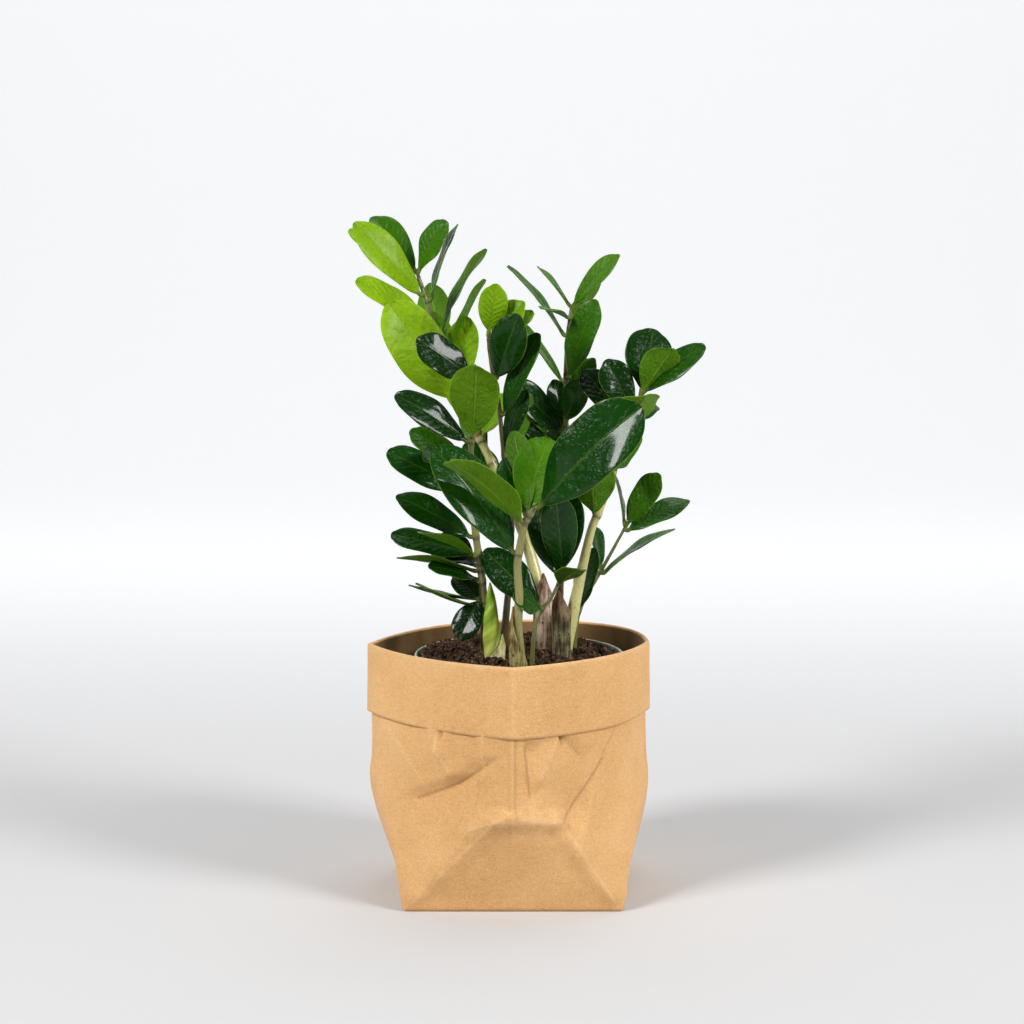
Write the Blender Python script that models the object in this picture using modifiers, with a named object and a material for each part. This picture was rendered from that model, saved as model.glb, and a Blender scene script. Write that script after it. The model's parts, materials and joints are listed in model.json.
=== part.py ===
"""A potted zz plant: fronds of fleshy leaflets growing from soil in a nursery pot, inside a paper bag planter.

Metres, +Z up. The origin is the centre of the bag's base, on the surface that it stands on, and -Y is the front.
"""

import bmesh
import bpy
import numpy as np
from mathutils import Matrix, Vector

MM = 0.001

# The paper bag: a square base, four creases that open into a rounder mouth, and a rim turned down as a cuff.
# Its mouth spreads beyond the lip of the pot that it holds.
BAG_BASE_WIDTH = 103 * MM
BAG_BASE_DEPTH = 98 * MM
BAG_MOUTH_SPREAD = 18 * MM
BAG_HEIGHT = 121 * MM
BAG_APEX_HEIGHT = 54 * MM
BAG_PAPER = 0.7 * MM
CUFF_DEPTH = 33 * MM
CUFF_STAND_OFF = 1.5 * MM
BAG_COLUMNS = 32
CORNER_CROWDING = 0.12

# The nursery pot stands on the bag's floor, a little right of the middle.
POT_TOP_RADIUS = 51 * MM
POT_FOOT_RADIUS = 37 * MM
POT_HEIGHT = 114.5 * MM
POT_WALL = 0.9 * MM
POT_LIP = 1.6 * MM
POT_OFFSET = Vector((3 * MM, 0, 0))
DRAIN_HOLE_RADIUS = 4 * MM
DRAIN_HOLES = 4

# The soil fills the pot to below its lip, and is heaped towards the back left.
SOIL_BELOW_LIP = 4.5 * MM
SOIL_HEAP = 5 * MM
SOIL_CLEARANCE = 0.4 * MM
ROOT_DEPTH = 12 * MM
SOCKET_CLEARANCE = 0.8 * MM

# The plant. Lengths in the tables below are millimetres of a plant that grows PLANT_REFERENCE above the soil.
PLANT_REFERENCE = 225 * MM
PLANT_HEIGHT = 225 * MM
LEAF_THICKNESS = 0.9 * MM
LEAF_GAP = 0.4 * MM
LEAF_NECK = 1.1 * MM
LEAF_TIP = 0.6 * MM
SHEATH_THICKNESS = 0.8 * MM
SHEATH_GAP = 0.5 * MM
TOUCHING_GAP = 0.3 * MM

# Each stalk: its foot from the pot's centre and then the steps it takes upwards, all in mm, and its radii in mm
# at the foot, halfway and at the end. The last value is the width of the sheath round its foot, or nothing.
STALKS = {
    "front_frond": dict(
        path=[(0, -33, 0), (-1, -33, 20), (0, -33, 37), (-1, -34, 51), (3, -40, 73), (8, -42, 78)],
        radii=(4.0, 2.1, 1.5),
    ),
    "left_frond": dict(
        path=[(-17, -8, 0), (-17, -10, 31), (-20, -12, 55), (-23, -12, 79), (-23, -12, 108), (-21, -12, 136)],
        radii=(2.0, 1.8, 1.2),
    ),
    "tall_frond": dict(
        path=[(11.5, 3, 0), (9.5, 5, 33), (4, 10, 54), (-5, 16, 76), (-21, 24, 108), (-32, 27, 127),
              (-39, 29, 151), (-46, 30, 173), (-50, 30, 186)],
        radii=(3.6, 2.6, 0.9),
    ),
    "centre_frond": dict(
        path=[(-8, 5, 0), (-6, 4, 25), (-4, 3, 48), (-4, 1, 78), (-7, 0, 94), (-10, 0, 126), (-13, 0, 139),
              (-15, 1, 157)],
        radii=(2.0, 1.4, 0.9),
    ),
    "back_frond": dict(
        path=[(19, 16, 0), (21, 21, 45), (22, 25, 85), (23, 28, 117), (23, 30, 137), (24, 32, 155), (26, 34, 169)],
        radii=(2.2, 1.5, 0.9),
    ),
    "right_frond": dict(
        path=[(21.5, -4, 0), (28.5, -2, 34), (35, -3, 64), (39, -3, 73), (46, 2, 93), (55, 6, 114), (59, 8, 128)],
        radii=(3.8, 2.4, 1.1),
    ),
    "side_sprig": dict(
        path=[(27, 13, 0), (29, 16, 18), (35, 20, 30), (42, 24, 41), (53, 30, 60)],
        radii=(1.5, 1.1, 0.7),
    ),
    "low_sprig": dict(
        path=[(6, -23, 0), (8, -21.5, 22), (15, -20, 32), (19, -19, 40), (21, -18, 44)],
        radii=(1.2, 1.0, 0.8),
    ),
}

# The sheaths: the stalk that each one hugs, the side it faces in degrees, the part of the turn it wraps in degrees,
# its height in mm and the lean of its tip in mm.
SHEATHS = {
    "front_sheath": ("front_frond", 200, 110, 31, 1.5),
    "bark_sheath": ("tall_frond", 262, 150, 41, -1.5),
    "grey_sheath": ("right_frond", 262, 190, 34, 0.0),
}

# The rolled young leaf: its foot from the pot's centre and its height, widest radius and foot radius, all in mm.
SHOOT_FOOT = (-12.5, -17.5, 0)
SHOOT_HEIGHT = 42
SHOOT_RADIUS = 3.6
SHOOT_FOOT_RADIUS = 2.7
SHOOT_LEAN = (-1.5, 0.5)

# Each leaflet: how far up its stalk it grows, its reach from base to tip in mm (x, y, z), its width in mm,
# the way its upper side faces (x, y, z), how much it arches in degrees and how deeply it folds at the midrib.
LEAFLETS = {
    "tall_frond": {
        1: (1.00, (-21, 8, 25), 17, (0.5, -0.8, 0.3), 25, 0.25),
        2: (0.95, (-31, -12, 34), 19, (0.4, -0.8, 0.5), 20, 0.2),
        3: (0.87, (-34, -22, 22), 17, (0.3, -0.7, 0.6), 15, 0.2),
        4: (0.68, (-31, -18, 47), 29, (0.25, -0.9, 0.1), 25, 0.12),
        5: (0.74, (-8, 10, 30), 15, (0.5, -0.9, 0.1), 15, 0.2),
        6: (1.00, (13, -6, 23), 16, (-0.7, -0.7, 0.2), 15, 0.25),
        7: (0.93, (13, 2, 36), 15, (-0.9, -0.2, 0.4), 15, 0.25),
        8: (0.85, (22, 1, 39), 17, (-0.85, 0.2, 0.4), 20, 0.25),
        9: (0.77, (17, -8, 40), 16, (-0.9, 0.2, 0.3), 15, 0.25),
    },
    "centre_frond": {
        1: (1.00, (3, -7, 22), 14, (0.1, -0.9, 0.4), 10, 0.25),
        2: (0.96, (18, 0, 17), 14, (-0.4, -0.7, 0.6), 20, 0.25),
        3: (0.87, (10, -14, 30), 19, (-0.2, -0.95, 0.3), 15, 0.2),
        4: (0.76, (16, -7, 38), 16, (-0.7, -0.6, 0.2), 15, 0.2),
    },
    "left_frond": {
        1: (1.00, (-25, -10, 18), 19, (0.1, -0.85, 0.5), 15, 0.12),
        2: (0.79, (-32, -9, 23), 17, (0.1, -0.75, 0.6), 20, 0.15),
        3: (0.81, (3, -21, 34), 24, (0.1, 0.85, 0.5), 15, 0.1),
        4: (0.61, (-36, -8, 20), 17, (0.2, -0.8, 0.5), 15, 0.15),
        5: (0.455, (-34, -5, 20), 17, (0.2, -0.7, 0.6), 20, 0.15),
        6: (0.385, (-25, -27, 15), 13, (0.2, 0.35, 0.9), 15, 0.3),
        7: (0.39, (-38, -3, 9), 16, (0.1, -0.6, 0.8), 15, 0.15),
        8: (0.33, (-36, -12, 8), 13, (0.1, 0.3, 0.95), 15, 0.2),
        9: (0.22, (-9, -6, -17), 15, (-0.3, -0.9, 0.3), 10, 0.1),
    },
    "front_frond": {
        1: (0.70, (-36, -6, 49), 27, (0.35, -0.85, 0.4), 30, 0.15),
        2: (0.90, (-31, -34, 31), 26, (0.3, 0.5, 0.8), 20, 0.3),
        3: (0.95, (9, 13, 32), 24, (-0.1, -0.95, 0.2), 20, 0.2),
        4: (1.00, (45, -18, 47), 32, (-0.2, -0.85, 0.45), 30, 0.22),
    },
    "back_frond": {
        1: (0.92, (-27, -5, 33), 13, (0.75, -0.2, 0.6), 15, 0.3),
        2: (1.00, (21, -10, 24), 13, (-0.5, -0.7, 0.5), 20, 0.3),
        3: (0.80, (13, -9, 37), 17, (-0.5, -0.8, 0.2), 15, 0.2),
        4: (0.79, (-22, -6, 29), 11, (0.7, -0.4, 0.5), 15, 0.2),
        5: (0.64, (-24, -9, 25), 17, (0.4, -0.8, 0.4), 15, 0.2),
    },
    "right_frond": {
        1: (1.00, (6, 14, 28), 25, (0.2, -0.95, 0.1), 15, 0.1),
        2: (1.00, (28, -3, 22), 16, (-0.2, -0.7, 0.7), 15, 0.2),
        3: (0.94, (-13, -3, 23), 17, (0.3, -0.9, 0.2), 15, 0.15),
        4: (0.88, (6, -19, 16), 21, (-0.2, 0.6, 0.8), 20, 0.35),
        5: (0.72, (11, -11, 15), 17, (-0.6, -0.5, 0.6), 15, 0.2),
        6: (0.54, (-2, -18, 26), 22, (0.1, 0.85, 0.5), 10, 0.3),
    },
    "side_sprig": {
        1: (1.00, (15, -6, 25), 15, (-0.5, -0.8, 0.3), 10, 0.15),
        2: (0.99, (30, 5, 14), 15, (-0.2, -0.6, 0.8), 15, 0.15),
        3: (0.63, (34, -4, 22), 14, (-0.35, -0.1, 0.9), 25, 0.2),
        4: (0.30, (8, -7, 31), 14, (-0.7, -0.7, 0.1), 15, 0.2),
    },
    "low_sprig": {
        1: (1.00, (-4, -8, 36), 18, (0.1, -0.95, 0.2), 15, 0.1),
        2: (0.96, (-11, 8, 34), 18, (0.2, -0.95, 0.2), 15, 0.15),
        3: (0.90, (8, -17, 9), 15, (0.0, 0.35, 0.95), 20, 0.25),
    },
}

# Colour (red, green, blue), roughness and metallic value of each material.
FINISHES = {
    "kraft_paper": ((0.52, 0.33, 0.17), 0.85),
    "pot_plastic": ((0.62, 0.72, 0.6), 0.4),
    "potting_soil": ((0.035, 0.022, 0.014), 0.95),
    "young_leaf": ((0.23, 0.47, 0.02), 0.35),
    "leaf": ((0.02, 0.12, 0.015), 0.2),
    "stalk": ((0.32, 0.33, 0.13), 0.45),
    "dry_sheath": ((0.22, 0.12, 0.07), 0.8),
}


def clear_scene():
    for thing in list(bpy.data.objects):
        bpy.data.objects.remove(thing)


def new_collection(name):
    made = bpy.data.collections.new(name)
    bpy.context.scene.collection.children.link(made)
    return made


def finish(thing, finish_name, smooth=True):
    """Puts one object in the plant's collection with its own material."""
    colour, roughness = FINISHES[finish_name]
    material = bpy.data.materials.new(f"{thing.name}_{finish_name}")
    material.use_nodes = True
    shader = material.node_tree.nodes["Principled BSDF"]
    shader.inputs["Base Color"].default_value = (*colour, 1)
    shader.inputs["Roughness"].default_value = roughness
    thing.data.materials.append(material)
    if smooth:
        thing.data.shade_smooth()
    PLANT.objects.link(thing)
    return thing


def from_bmesh(name, bm):
    mesh = bpy.data.meshes.new(name)
    bm.to_mesh(mesh)
    bm.free()
    return bpy.data.objects.new(name, mesh)


def add_solidify(thing, thickness, even=True):
    modifier = thing.modifiers.new("thickness", "SOLIDIFY")
    modifier.thickness = thickness
    modifier.offset = 0
    modifier.use_even_offset = even


def cut(thing, cutter):
    modifier = thing.modifiers.new(f"cut_{cutter.name}", "BOOLEAN")
    modifier.operation = "DIFFERENCE"
    modifier.solver = "EXACT"
    modifier.object = cutter


def as_cutter(thing):
    thing.hide_render = True
    thing.display_type = "WIRE"
    CUTTERS.objects.link(thing)
    return thing


def turned(name, profile, steps):
    """A solid turned about Z from (radius, height) points that run down its outer side."""
    bm = bmesh.new()
    points = [bm.verts.new((radius, 0, height)) for radius, height in profile]
    for a, b in zip(points, points[1:]):
        bm.edges.new((a, b))
    thing = from_bmesh(name, bm)
    screw = thing.modifiers.new("turn", "SCREW")
    screw.steps = steps
    screw.render_steps = steps
    screw.use_merge_vertices = True
    screw.merge_threshold = 0.00001
    screw.use_smooth_shade = True
    return thing


def bag_outline(corner, crease, curved):
    """A closed outline through four creases and the corners between them, curved or, for the base, straight.

    The straight one crowds its points at the corners, so that flat triangles rise from it to the creases.
    """
    outline = []
    per_side = BAG_COLUMNS // 4
    for side in range(4):
        start, end, middle = crease[side], crease[(side + 1) % 4], corner[side]
        pull = middle * 2 - (start + end) / 2
        for step in range(per_side):
            t = step / per_side
            if curved:
                outline.append(start * (1 - t) ** 2 + pull * 2 * t * (1 - t) + end * t ** 2)
                continue
            near, to_corner = (start, 2 * t) if t < 0.5 else (end, 2 - 2 * t)
            outline.append(near.lerp(middle, to_corner ** CORNER_CROWDING))
    return outline


def outward(outline):
    """The unit outward direction at each point of a closed outline that runs anticlockwise."""
    directions = []
    for index in range(len(outline)):
        along = outline[(index + 1) % len(outline)] - outline[index - 1]
        directions.append(Vector((along.y, -along.x)).normalized())
    return directions


def make_bag():
    """One sheet of paper: floor, walls lofted from the square base to the mouth, and the rim turned outwards."""
    half_width, half_depth = BAG_BASE_WIDTH / 2, BAG_BASE_DEPTH / 2
    mouth_x = POT_TOP_RADIUS + BAG_MOUTH_SPREAD
    mouth_y = mouth_x - (half_width - half_depth)
    base_creases = [Vector((half_width, 0)), Vector((0, half_depth)), Vector((-half_width, 0)), Vector((0, -half_depth))]
    base_corners = [Vector((half_width * x, half_depth * y)) for x, y in ((1, 1), (-1, 1), (-1, -1), (1, -1))]
    mouth_creases = [Vector((mouth_x - 1 * MM, 0)), Vector((3 * MM, mouth_y - 3 * MM)),
                     Vector((-mouth_x, -3 * MM)), Vector((0, -mouth_y))]
    mouth_corners = [Vector((mouth_x * x, mouth_y * y)) for x, y in
                     ((0.73, 0.70), (-0.56, 0.66), (-0.6, -0.62), (0.6, -0.62))]
    base = bag_outline(base_corners, base_creases, False)
    mouth = bag_outline(mouth_corners, mouth_creases, True)
    directions = outward(mouth)

    def wall_ring(height):
        ring = []
        for index in range(BAG_COLUMNS):
            point = base[index].lerp(mouth[index], min(height / BAG_APEX_HEIGHT, 1))
            ring.append((point.x, point.y, height))
        return ring

    def cuff_ring(below_rim, stand_off):
        return [(p.x + d.x * stand_off, p.y + d.y * stand_off, BAG_HEIGHT - below_rim)
                for p, d in zip(mouth, directions)]

    floor = BAG_PAPER / 2
    rings = [[(p.x * share, p.y * share, floor) for p in base] for share in (0.5, 0.99)]
    rings += [wall_ring(height) for height in np.linspace(floor * 2.5, BAG_APEX_HEIGHT, 4)]
    rings += [wall_ring(BAG_APEX_HEIGHT + (BAG_HEIGHT - BAG_APEX_HEIGHT) * share) for share in (0.33, 0.66)]
    fold = CUFF_STAND_OFF / 2
    rings += [cuff_ring(fold, 0), cuff_ring(fold * 0.3, fold * 0.3), cuff_ring(BAG_PAPER / 2, fold)]
    rings += [cuff_ring(fold * 0.3, fold * 1.7), cuff_ring(fold, CUFF_STAND_OFF)]
    rings += [cuff_ring(CUFF_DEPTH / 2, CUFF_STAND_OFF), cuff_ring(CUFF_DEPTH, CUFF_STAND_OFF + TOUCHING_GAP)]

    bm = bmesh.new()
    made = [[bm.verts.new(point) for point in ring] for ring in rings]
    middle = bm.verts.new((0, 0, floor))
    for index in range(BAG_COLUMNS):
        after = (index + 1) % BAG_COLUMNS
        bm.faces.new((middle, made[0][after], made[0][index]))
        for lower, upper in zip(made, made[1:]):
            bm.faces.new((lower[index], lower[after], upper[after], upper[index]))
    bag = finish(from_bmesh("paper_bag", bm), "kraft_paper", smooth=False)
    add_solidify(bag, BAG_PAPER, even=False)
    return bag


def pot_radius(height):
    """Outer radius of the nursery pot's wall at a height above its foot."""
    return POT_FOOT_RADIUS + (POT_TOP_RADIUS - POT_LIP - POT_FOOT_RADIUS) * height / POT_HEIGHT


def make_pot():
    top, wall = POT_HEIGHT, POT_WALL
    lip_drop = 7 * MM
    inner_foot = pot_radius(wall) - wall
    profile = [
        (0, wall), (inner_foot, wall),
        (pot_radius(top) - wall, top), (POT_TOP_RADIUS, top), (POT_TOP_RADIUS, top - lip_drop),
        (POT_TOP_RADIUS - wall, top - lip_drop), (POT_TOP_RADIUS - wall, top - wall),
        (pot_radius(top - wall), top - wall), (pot_radius(2 * MM), 2 * MM), (pot_radius(0) - 2 * MM, 0), (0, 0),
    ]
    pot = finish(turned("nursery_pot", profile, 32), "pot_plastic")
    pot.location = POT_OFFSET + Vector((0, 0, BAG_PAPER + TOUCHING_GAP))
    for hole in range(DRAIN_HOLES):
        bm = bmesh.new()
        bmesh.ops.create_cone(bm, cap_ends=True, segments=12, radius1=DRAIN_HOLE_RADIUS, radius2=DRAIN_HOLE_RADIUS,
                              depth=10 * MM)
        cutter = as_cutter(from_bmesh(f"drain_hole_cutter_{hole + 1}", bm))
        turn = Matrix.Rotation(np.radians(45 + 360 * hole / DRAIN_HOLES), 4, "Z")
        cutter.location = pot.location + turn @ Vector((POT_FOOT_RADIUS * 0.6, 0, 0))
        cut(pot, cutter)
    return pot


def make_soil(pot):
    """The root ball: it fits the pot with a clearance, and its top is heaped by two broad waves."""
    foot = POT_WALL + SOIL_CLEARANCE
    level = POT_HEIGHT - SOIL_BELOW_LIP

    def radius(height):
        return pot_radius(height) - POT_WALL - SOIL_CLEARANCE

    top_radii = [radius(level) * share for share in (0.2, 0.4, 0.6, 0.8)]
    profile = [(0, level)] + [(r, level) for r in top_radii] + [(radius(level), level), (radius(foot), foot), (0, foot)]
    soil = turned("soil", profile, 32)
    graph = bpy.context.evaluated_depsgraph_get()
    CUTTERS.objects.link(soil)
    bpy.context.view_layer.update()
    graph.update()
    mesh = bpy.data.meshes.new_from_object(soil.evaluated_get(graph))
    bpy.data.objects.remove(soil)
    rim = radius(level)
    for vertex in mesh.vertices:
        x, y, z = vertex.co
        inside = 1 - (x * x + y * y) / rim ** 2
        if z > level - 0.1 * MM and inside > 0.01:
            wave = 0.5 + 0.3 * np.sin(150 * x + 1) * np.cos(130 * y) + 0.5 * (y - x) / rim
            vertex.co.z = z + SOIL_HEAP * wave * inside ** 0.5
    soil = finish(bpy.data.objects.new("soil", mesh), "potting_soil", smooth=False)
    soil.location = pot.location
    return soil


def smooth_path(points, pieces):
    """Points along a smooth curve through the given ones (Catmull-Rom), evenly shared between them."""
    given = [points[0] * 2 - points[1], *points, points[-1] * 2 - points[-2]]
    sampled = []
    for index in range(len(points) - 1):
        a, b, c, d = given[index:index + 4]
        for step in range(pieces):
            t = step / pieces
            sampled.append(0.5 * ((2 * b) + (c - a) * t + (2 * a - 5 * b + 4 * c - d) * t ** 2
                                  + (3 * b - a - 3 * c + d) * t ** 3))
    sampled.append(points[-1].copy())
    return sampled


class Stalk:
    """A stalk's line from its buried end to its tip, with its radius along it."""

    def __init__(self, path, radii, foot, buried):
        growth = PLANT_HEIGHT / PLANT_REFERENCE
        steps = [foot + Vector(step) * MM * growth for step in path]
        steps[0] = foot + Vector(path[0]) * MM
        self.above = smooth_path(steps, 2)
        down = (self.above[0] - self.above[1]).normalized()
        self.points = ([self.above[0] + down * ROOT_DEPTH] if buried else []) + self.above
        lengths = [(b - a).length for a, b in zip(self.above, self.above[1:])]
        self.places = np.concatenate([[0], np.cumsum(lengths)]) / sum(lengths)
        self.radii = [radius * MM for radius in radii]
        self.buried = buried

    def radius(self, share):
        return float(np.interp(share, (0, 0.3, 1), self.radii))

    def at(self, share):
        return Vector([float(np.interp(share, self.places, [p[axis] for p in self.above])) for axis in range(3)])

    def direction(self, share):
        return (self.at(min(share + 0.02, 1)) - self.at(max(share - 0.02, 0))).normalized()

    def point_radii(self):
        along = [self.radius(place) for place in self.places]
        return ([along[0] * 0.8] if self.buried else []) + along


def make_tube(name, points, radii, sides=2):
    """A tube along points, closed at both ends, as a mesh."""
    curve = bpy.data.curves.new(name, "CURVE")
    curve.dimensions = "3D"
    curve.bevel_depth = 1.0
    curve.bevel_resolution = sides
    curve.use_fill_caps = True
    spline = curve.splines.new("POLY")
    spline.points.add(len(points) - 1)
    for place, point, radius in zip(spline.points, points, radii):
        place.co = (*point, 1)
        place.radius = radius
    guide = bpy.data.objects.new(name, curve)
    CUTTERS.objects.link(guide)
    bpy.context.view_layer.update()
    mesh = bpy.data.meshes.new_from_object(guide.evaluated_get(bpy.context.evaluated_depsgraph_get()))
    bpy.data.objects.remove(guide)
    bm = bmesh.new()
    bm.from_mesh(mesh)
    bmesh.ops.remove_doubles(bm, verts=bm.verts, dist=0.00001)
    bmesh.ops.recalc_face_normals(bm, faces=bm.faces)
    bm.to_mesh(mesh)
    bm.free()
    return bpy.data.objects.new(name, mesh)


def add_socket(soil, stalk, name, radius):
    """Opens the soil round a buried foot."""
    top, under = stalk.points[1], stalk.points[0]
    along = (top - under).normalized()
    ends = [under - along * MM, stalk.points[2] if stalk.buried else top]
    line = [ends[0], top, top + (ends[1] - top).normalized() * 18 * MM]
    cutter = as_cutter(make_tube(f"{name}_socket_cutter", line, [radius] * 3, 3))
    cut(soil, cutter)


def make_sheath(name, stalk, facing, wrap, height, lean, foot_depth):
    """A pointed half tube round the foot of a stalk, open at the back: radius and angle narrow towards its tip."""
    bm = bmesh.new()
    bmesh.ops.create_grid(bm, x_segments=8, y_segments=6, size=1)
    base = stalk.at(0)
    axis = stalk.direction(0.02)
    side = axis.cross(Vector((0, 1, 0))).normalized()
    front = side.cross(axis).normalized()
    inner = stalk.radii[0] + SHEATH_GAP + SHEATH_THICKNESS / 2
    for vertex in bm.verts:
        up = (vertex.co.y + 1) / 2
        narrow = (1 - up ** 2.2) * 0.94 + 0.06
        angle = np.radians(facing + vertex.co.x * wrap / 2 * narrow)
        along = -foot_depth + (height * MM + foot_depth) * up
        radius = inner * (1 + 0.12 * np.sin(np.pi * up))
        place = base + axis * along + side * np.cos(angle) * radius * -1 + front * np.sin(angle) * radius
        vertex.co = place + side * lean * MM * up ** 2
    bmesh.ops.recalc_face_normals(bm, faces=bm.faces)
    sheath = finish(from_bmesh(name, bm), "dry_sheath")
    add_solidify(sheath, SHEATH_THICKNESS)
    return sheath


def leaf_half_width(along):
    """Share of a leaflet's half width at a share of its length: a narrow neck, widest past the middle, a blunt tip."""
    return np.sin(np.pi * along ** 1.12) ** 0.58 if 0 < along < 1 else 0.0


def make_leaflet(name, stalk, share, reach, width, facing, arch, fold, finish_name):
    """A thin blade bent over an arc along its length and folded at its midrib, set just clear of its stalk."""
    growth = PLANT_HEIGHT / PLANT_REFERENCE
    reach = Vector(reach) * MM * growth
    along = reach.normalized()
    up = Vector(facing)
    up = (up - along * up.dot(along)).normalized()
    across = up.cross(along)
    stem = stalk.direction(share)
    aside = along - stem * along.dot(stem)
    clear = stalk.radius(share) + LEAF_GAP + LEAF_NECK
    start = stalk.at(share) + (along if share > 0.995 else aside.normalized()) * clear
    bend = np.radians(arch)
    arc = reach.length / (2 * np.sin(bend / 2))
    half = width * MM * growth / 2
    bm = bmesh.new()
    bmesh.ops.create_grid(bm, x_segments=6, y_segments=4, size=1)
    for vertex in bm.verts:
        t, s = (vertex.co.x + 1) / 2, vertex.co.y
        tip = LEAF_NECK * (1 - t) + LEAF_TIP * t
        y = s * max(half * leaf_half_width(t), tip)
        x = arc * (np.sin(bend / 2) - np.sin(bend * (0.5 - t)))
        z = arc * (np.cos(bend * (0.5 - t)) - np.cos(bend / 2)) + fold * abs(y)
        vertex.co = (x, y, z)
    leaflet = finish(from_bmesh(name, bm), finish_name)
    turn = Matrix((along, across, up)).transposed()
    leaflet.matrix_world = Matrix.Translation(start) @ turn.to_4x4()
    add_solidify(leaflet, LEAF_THICKNESS)
    return leaflet


def make_shoot(soil, soil_level):
    """The rolled young leaf, a spindle, and the pale sheath that cups its foot on the right."""
    foot = POT_OFFSET + Vector(SHOOT_FOOT) * MM + Vector((0, 0, soil_level))
    lean = Vector((*SHOOT_LEAN, 0)) * MM
    line = [foot - Vector((0, 0, ROOT_DEPTH / 2)), foot]
    radii = [SHOOT_FOOT_RADIUS * MM] * 2
    for share in (0.2, 0.4, 0.55, 0.7, 0.85, 1.0):
        line.append(foot + Vector((0, 0, SHOOT_HEIGHT * MM * share)) + lean * share)
        swell = SHOOT_RADIUS * np.cos(np.pi / 2 * max((share - 0.3) / 0.72, 0)) ** 0.8
        radii.append(max(swell, 0.35) * MM)
    finish(make_tube("new_shoot", line, radii, 2), "young_leaf")
    sheath_radius = SHOOT_FOOT_RADIUS * MM + SHEATH_GAP
    shoot = Stalk([(0, 0, 0), (0, 0, 10)], [SHOOT_RADIUS + 0.1] * 3, foot, True)
    make_sheath("shoot_sheath", shoot, 330, 150, 17, 0.0, ROOT_DEPTH / 4)
    add_socket(soil, shoot, "new_shoot", sheath_radius + SHEATH_THICKNESS + 2.4 * SOCKET_CLEARANCE)


def make_plant(soil):
    soil_level = soil.location.z + POT_HEIGHT - SOIL_BELOW_LIP
    foot = POT_OFFSET + Vector((0, 0, soil_level + SOIL_HEAP / 2))
    stalks = {name: Stalk(spec["path"], spec["radii"], foot, True) for name, spec in STALKS.items()}
    wrapped = {}
    for name, (stalk, facing, wrap, height, lean) in SHEATHS.items():
        make_sheath(name, stalks[stalk], facing, wrap, height, lean, ROOT_DEPTH / 2)
        wrapped[stalk] = SHEATH_GAP + SHEATH_THICKNESS
    for name, stalk in stalks.items():
        finish(make_tube(f"{name}_stem", stalk.points, stalk.point_radii()), "stalk")
        add_socket(soil, stalk, name, stalk.radii[0] + wrapped.get(name, 0) + SOCKET_CLEARANCE)
    for frond, leaflets in LEAFLETS.items():
        for number, (share, reach, width, facing, arch, fold) in leaflets.items():
            young = frond == "tall_frond" and number > 1
            make_leaflet(f"{frond}_leaf_{number}", stalks[frond], share, reach, width, facing, arch, fold,
                         "young_leaf" if young else "leaf")
    make_shoot(soil, soil_level)


clear_scene()
PLANT = new_collection("potted_zz_plant")
CUTTERS = new_collection("cutters")
CUTTERS.hide_render = True
make_bag()
nursery_pot = make_pot()
make_plant(make_soil(nursery_pot))
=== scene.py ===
"""Looks of the potted zz plant: fleshy leaflets, stalks, sheaths, soil, nursery pot and kraft paper bag.

Metres, +Z up, -Y is the front. Every piece is grown from the CAD node that it stands for.
"""

import json

import bpy
import numpy as np
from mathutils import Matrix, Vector


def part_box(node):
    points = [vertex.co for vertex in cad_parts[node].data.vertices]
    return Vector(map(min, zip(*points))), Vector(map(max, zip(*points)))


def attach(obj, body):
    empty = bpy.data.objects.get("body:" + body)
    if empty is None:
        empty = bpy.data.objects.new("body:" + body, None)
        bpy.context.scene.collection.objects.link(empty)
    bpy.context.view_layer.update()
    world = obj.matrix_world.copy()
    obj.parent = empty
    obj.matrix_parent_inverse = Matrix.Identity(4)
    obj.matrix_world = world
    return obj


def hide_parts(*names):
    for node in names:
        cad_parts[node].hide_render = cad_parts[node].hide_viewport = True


MM = 0.001
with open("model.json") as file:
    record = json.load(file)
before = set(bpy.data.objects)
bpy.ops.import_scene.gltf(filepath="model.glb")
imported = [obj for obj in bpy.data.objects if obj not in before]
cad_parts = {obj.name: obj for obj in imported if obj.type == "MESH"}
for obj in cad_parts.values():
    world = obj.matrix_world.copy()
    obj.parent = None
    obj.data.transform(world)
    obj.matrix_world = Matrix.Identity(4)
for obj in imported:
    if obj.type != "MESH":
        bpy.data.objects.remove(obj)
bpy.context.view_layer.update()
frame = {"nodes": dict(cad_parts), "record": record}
NODES = frame["nodes"]
SLOTS = {part["node"]: part["material_slot"] for part in frame["record"]["subparts"]}


# ---------------------------------------------------------------- surfaces


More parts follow.
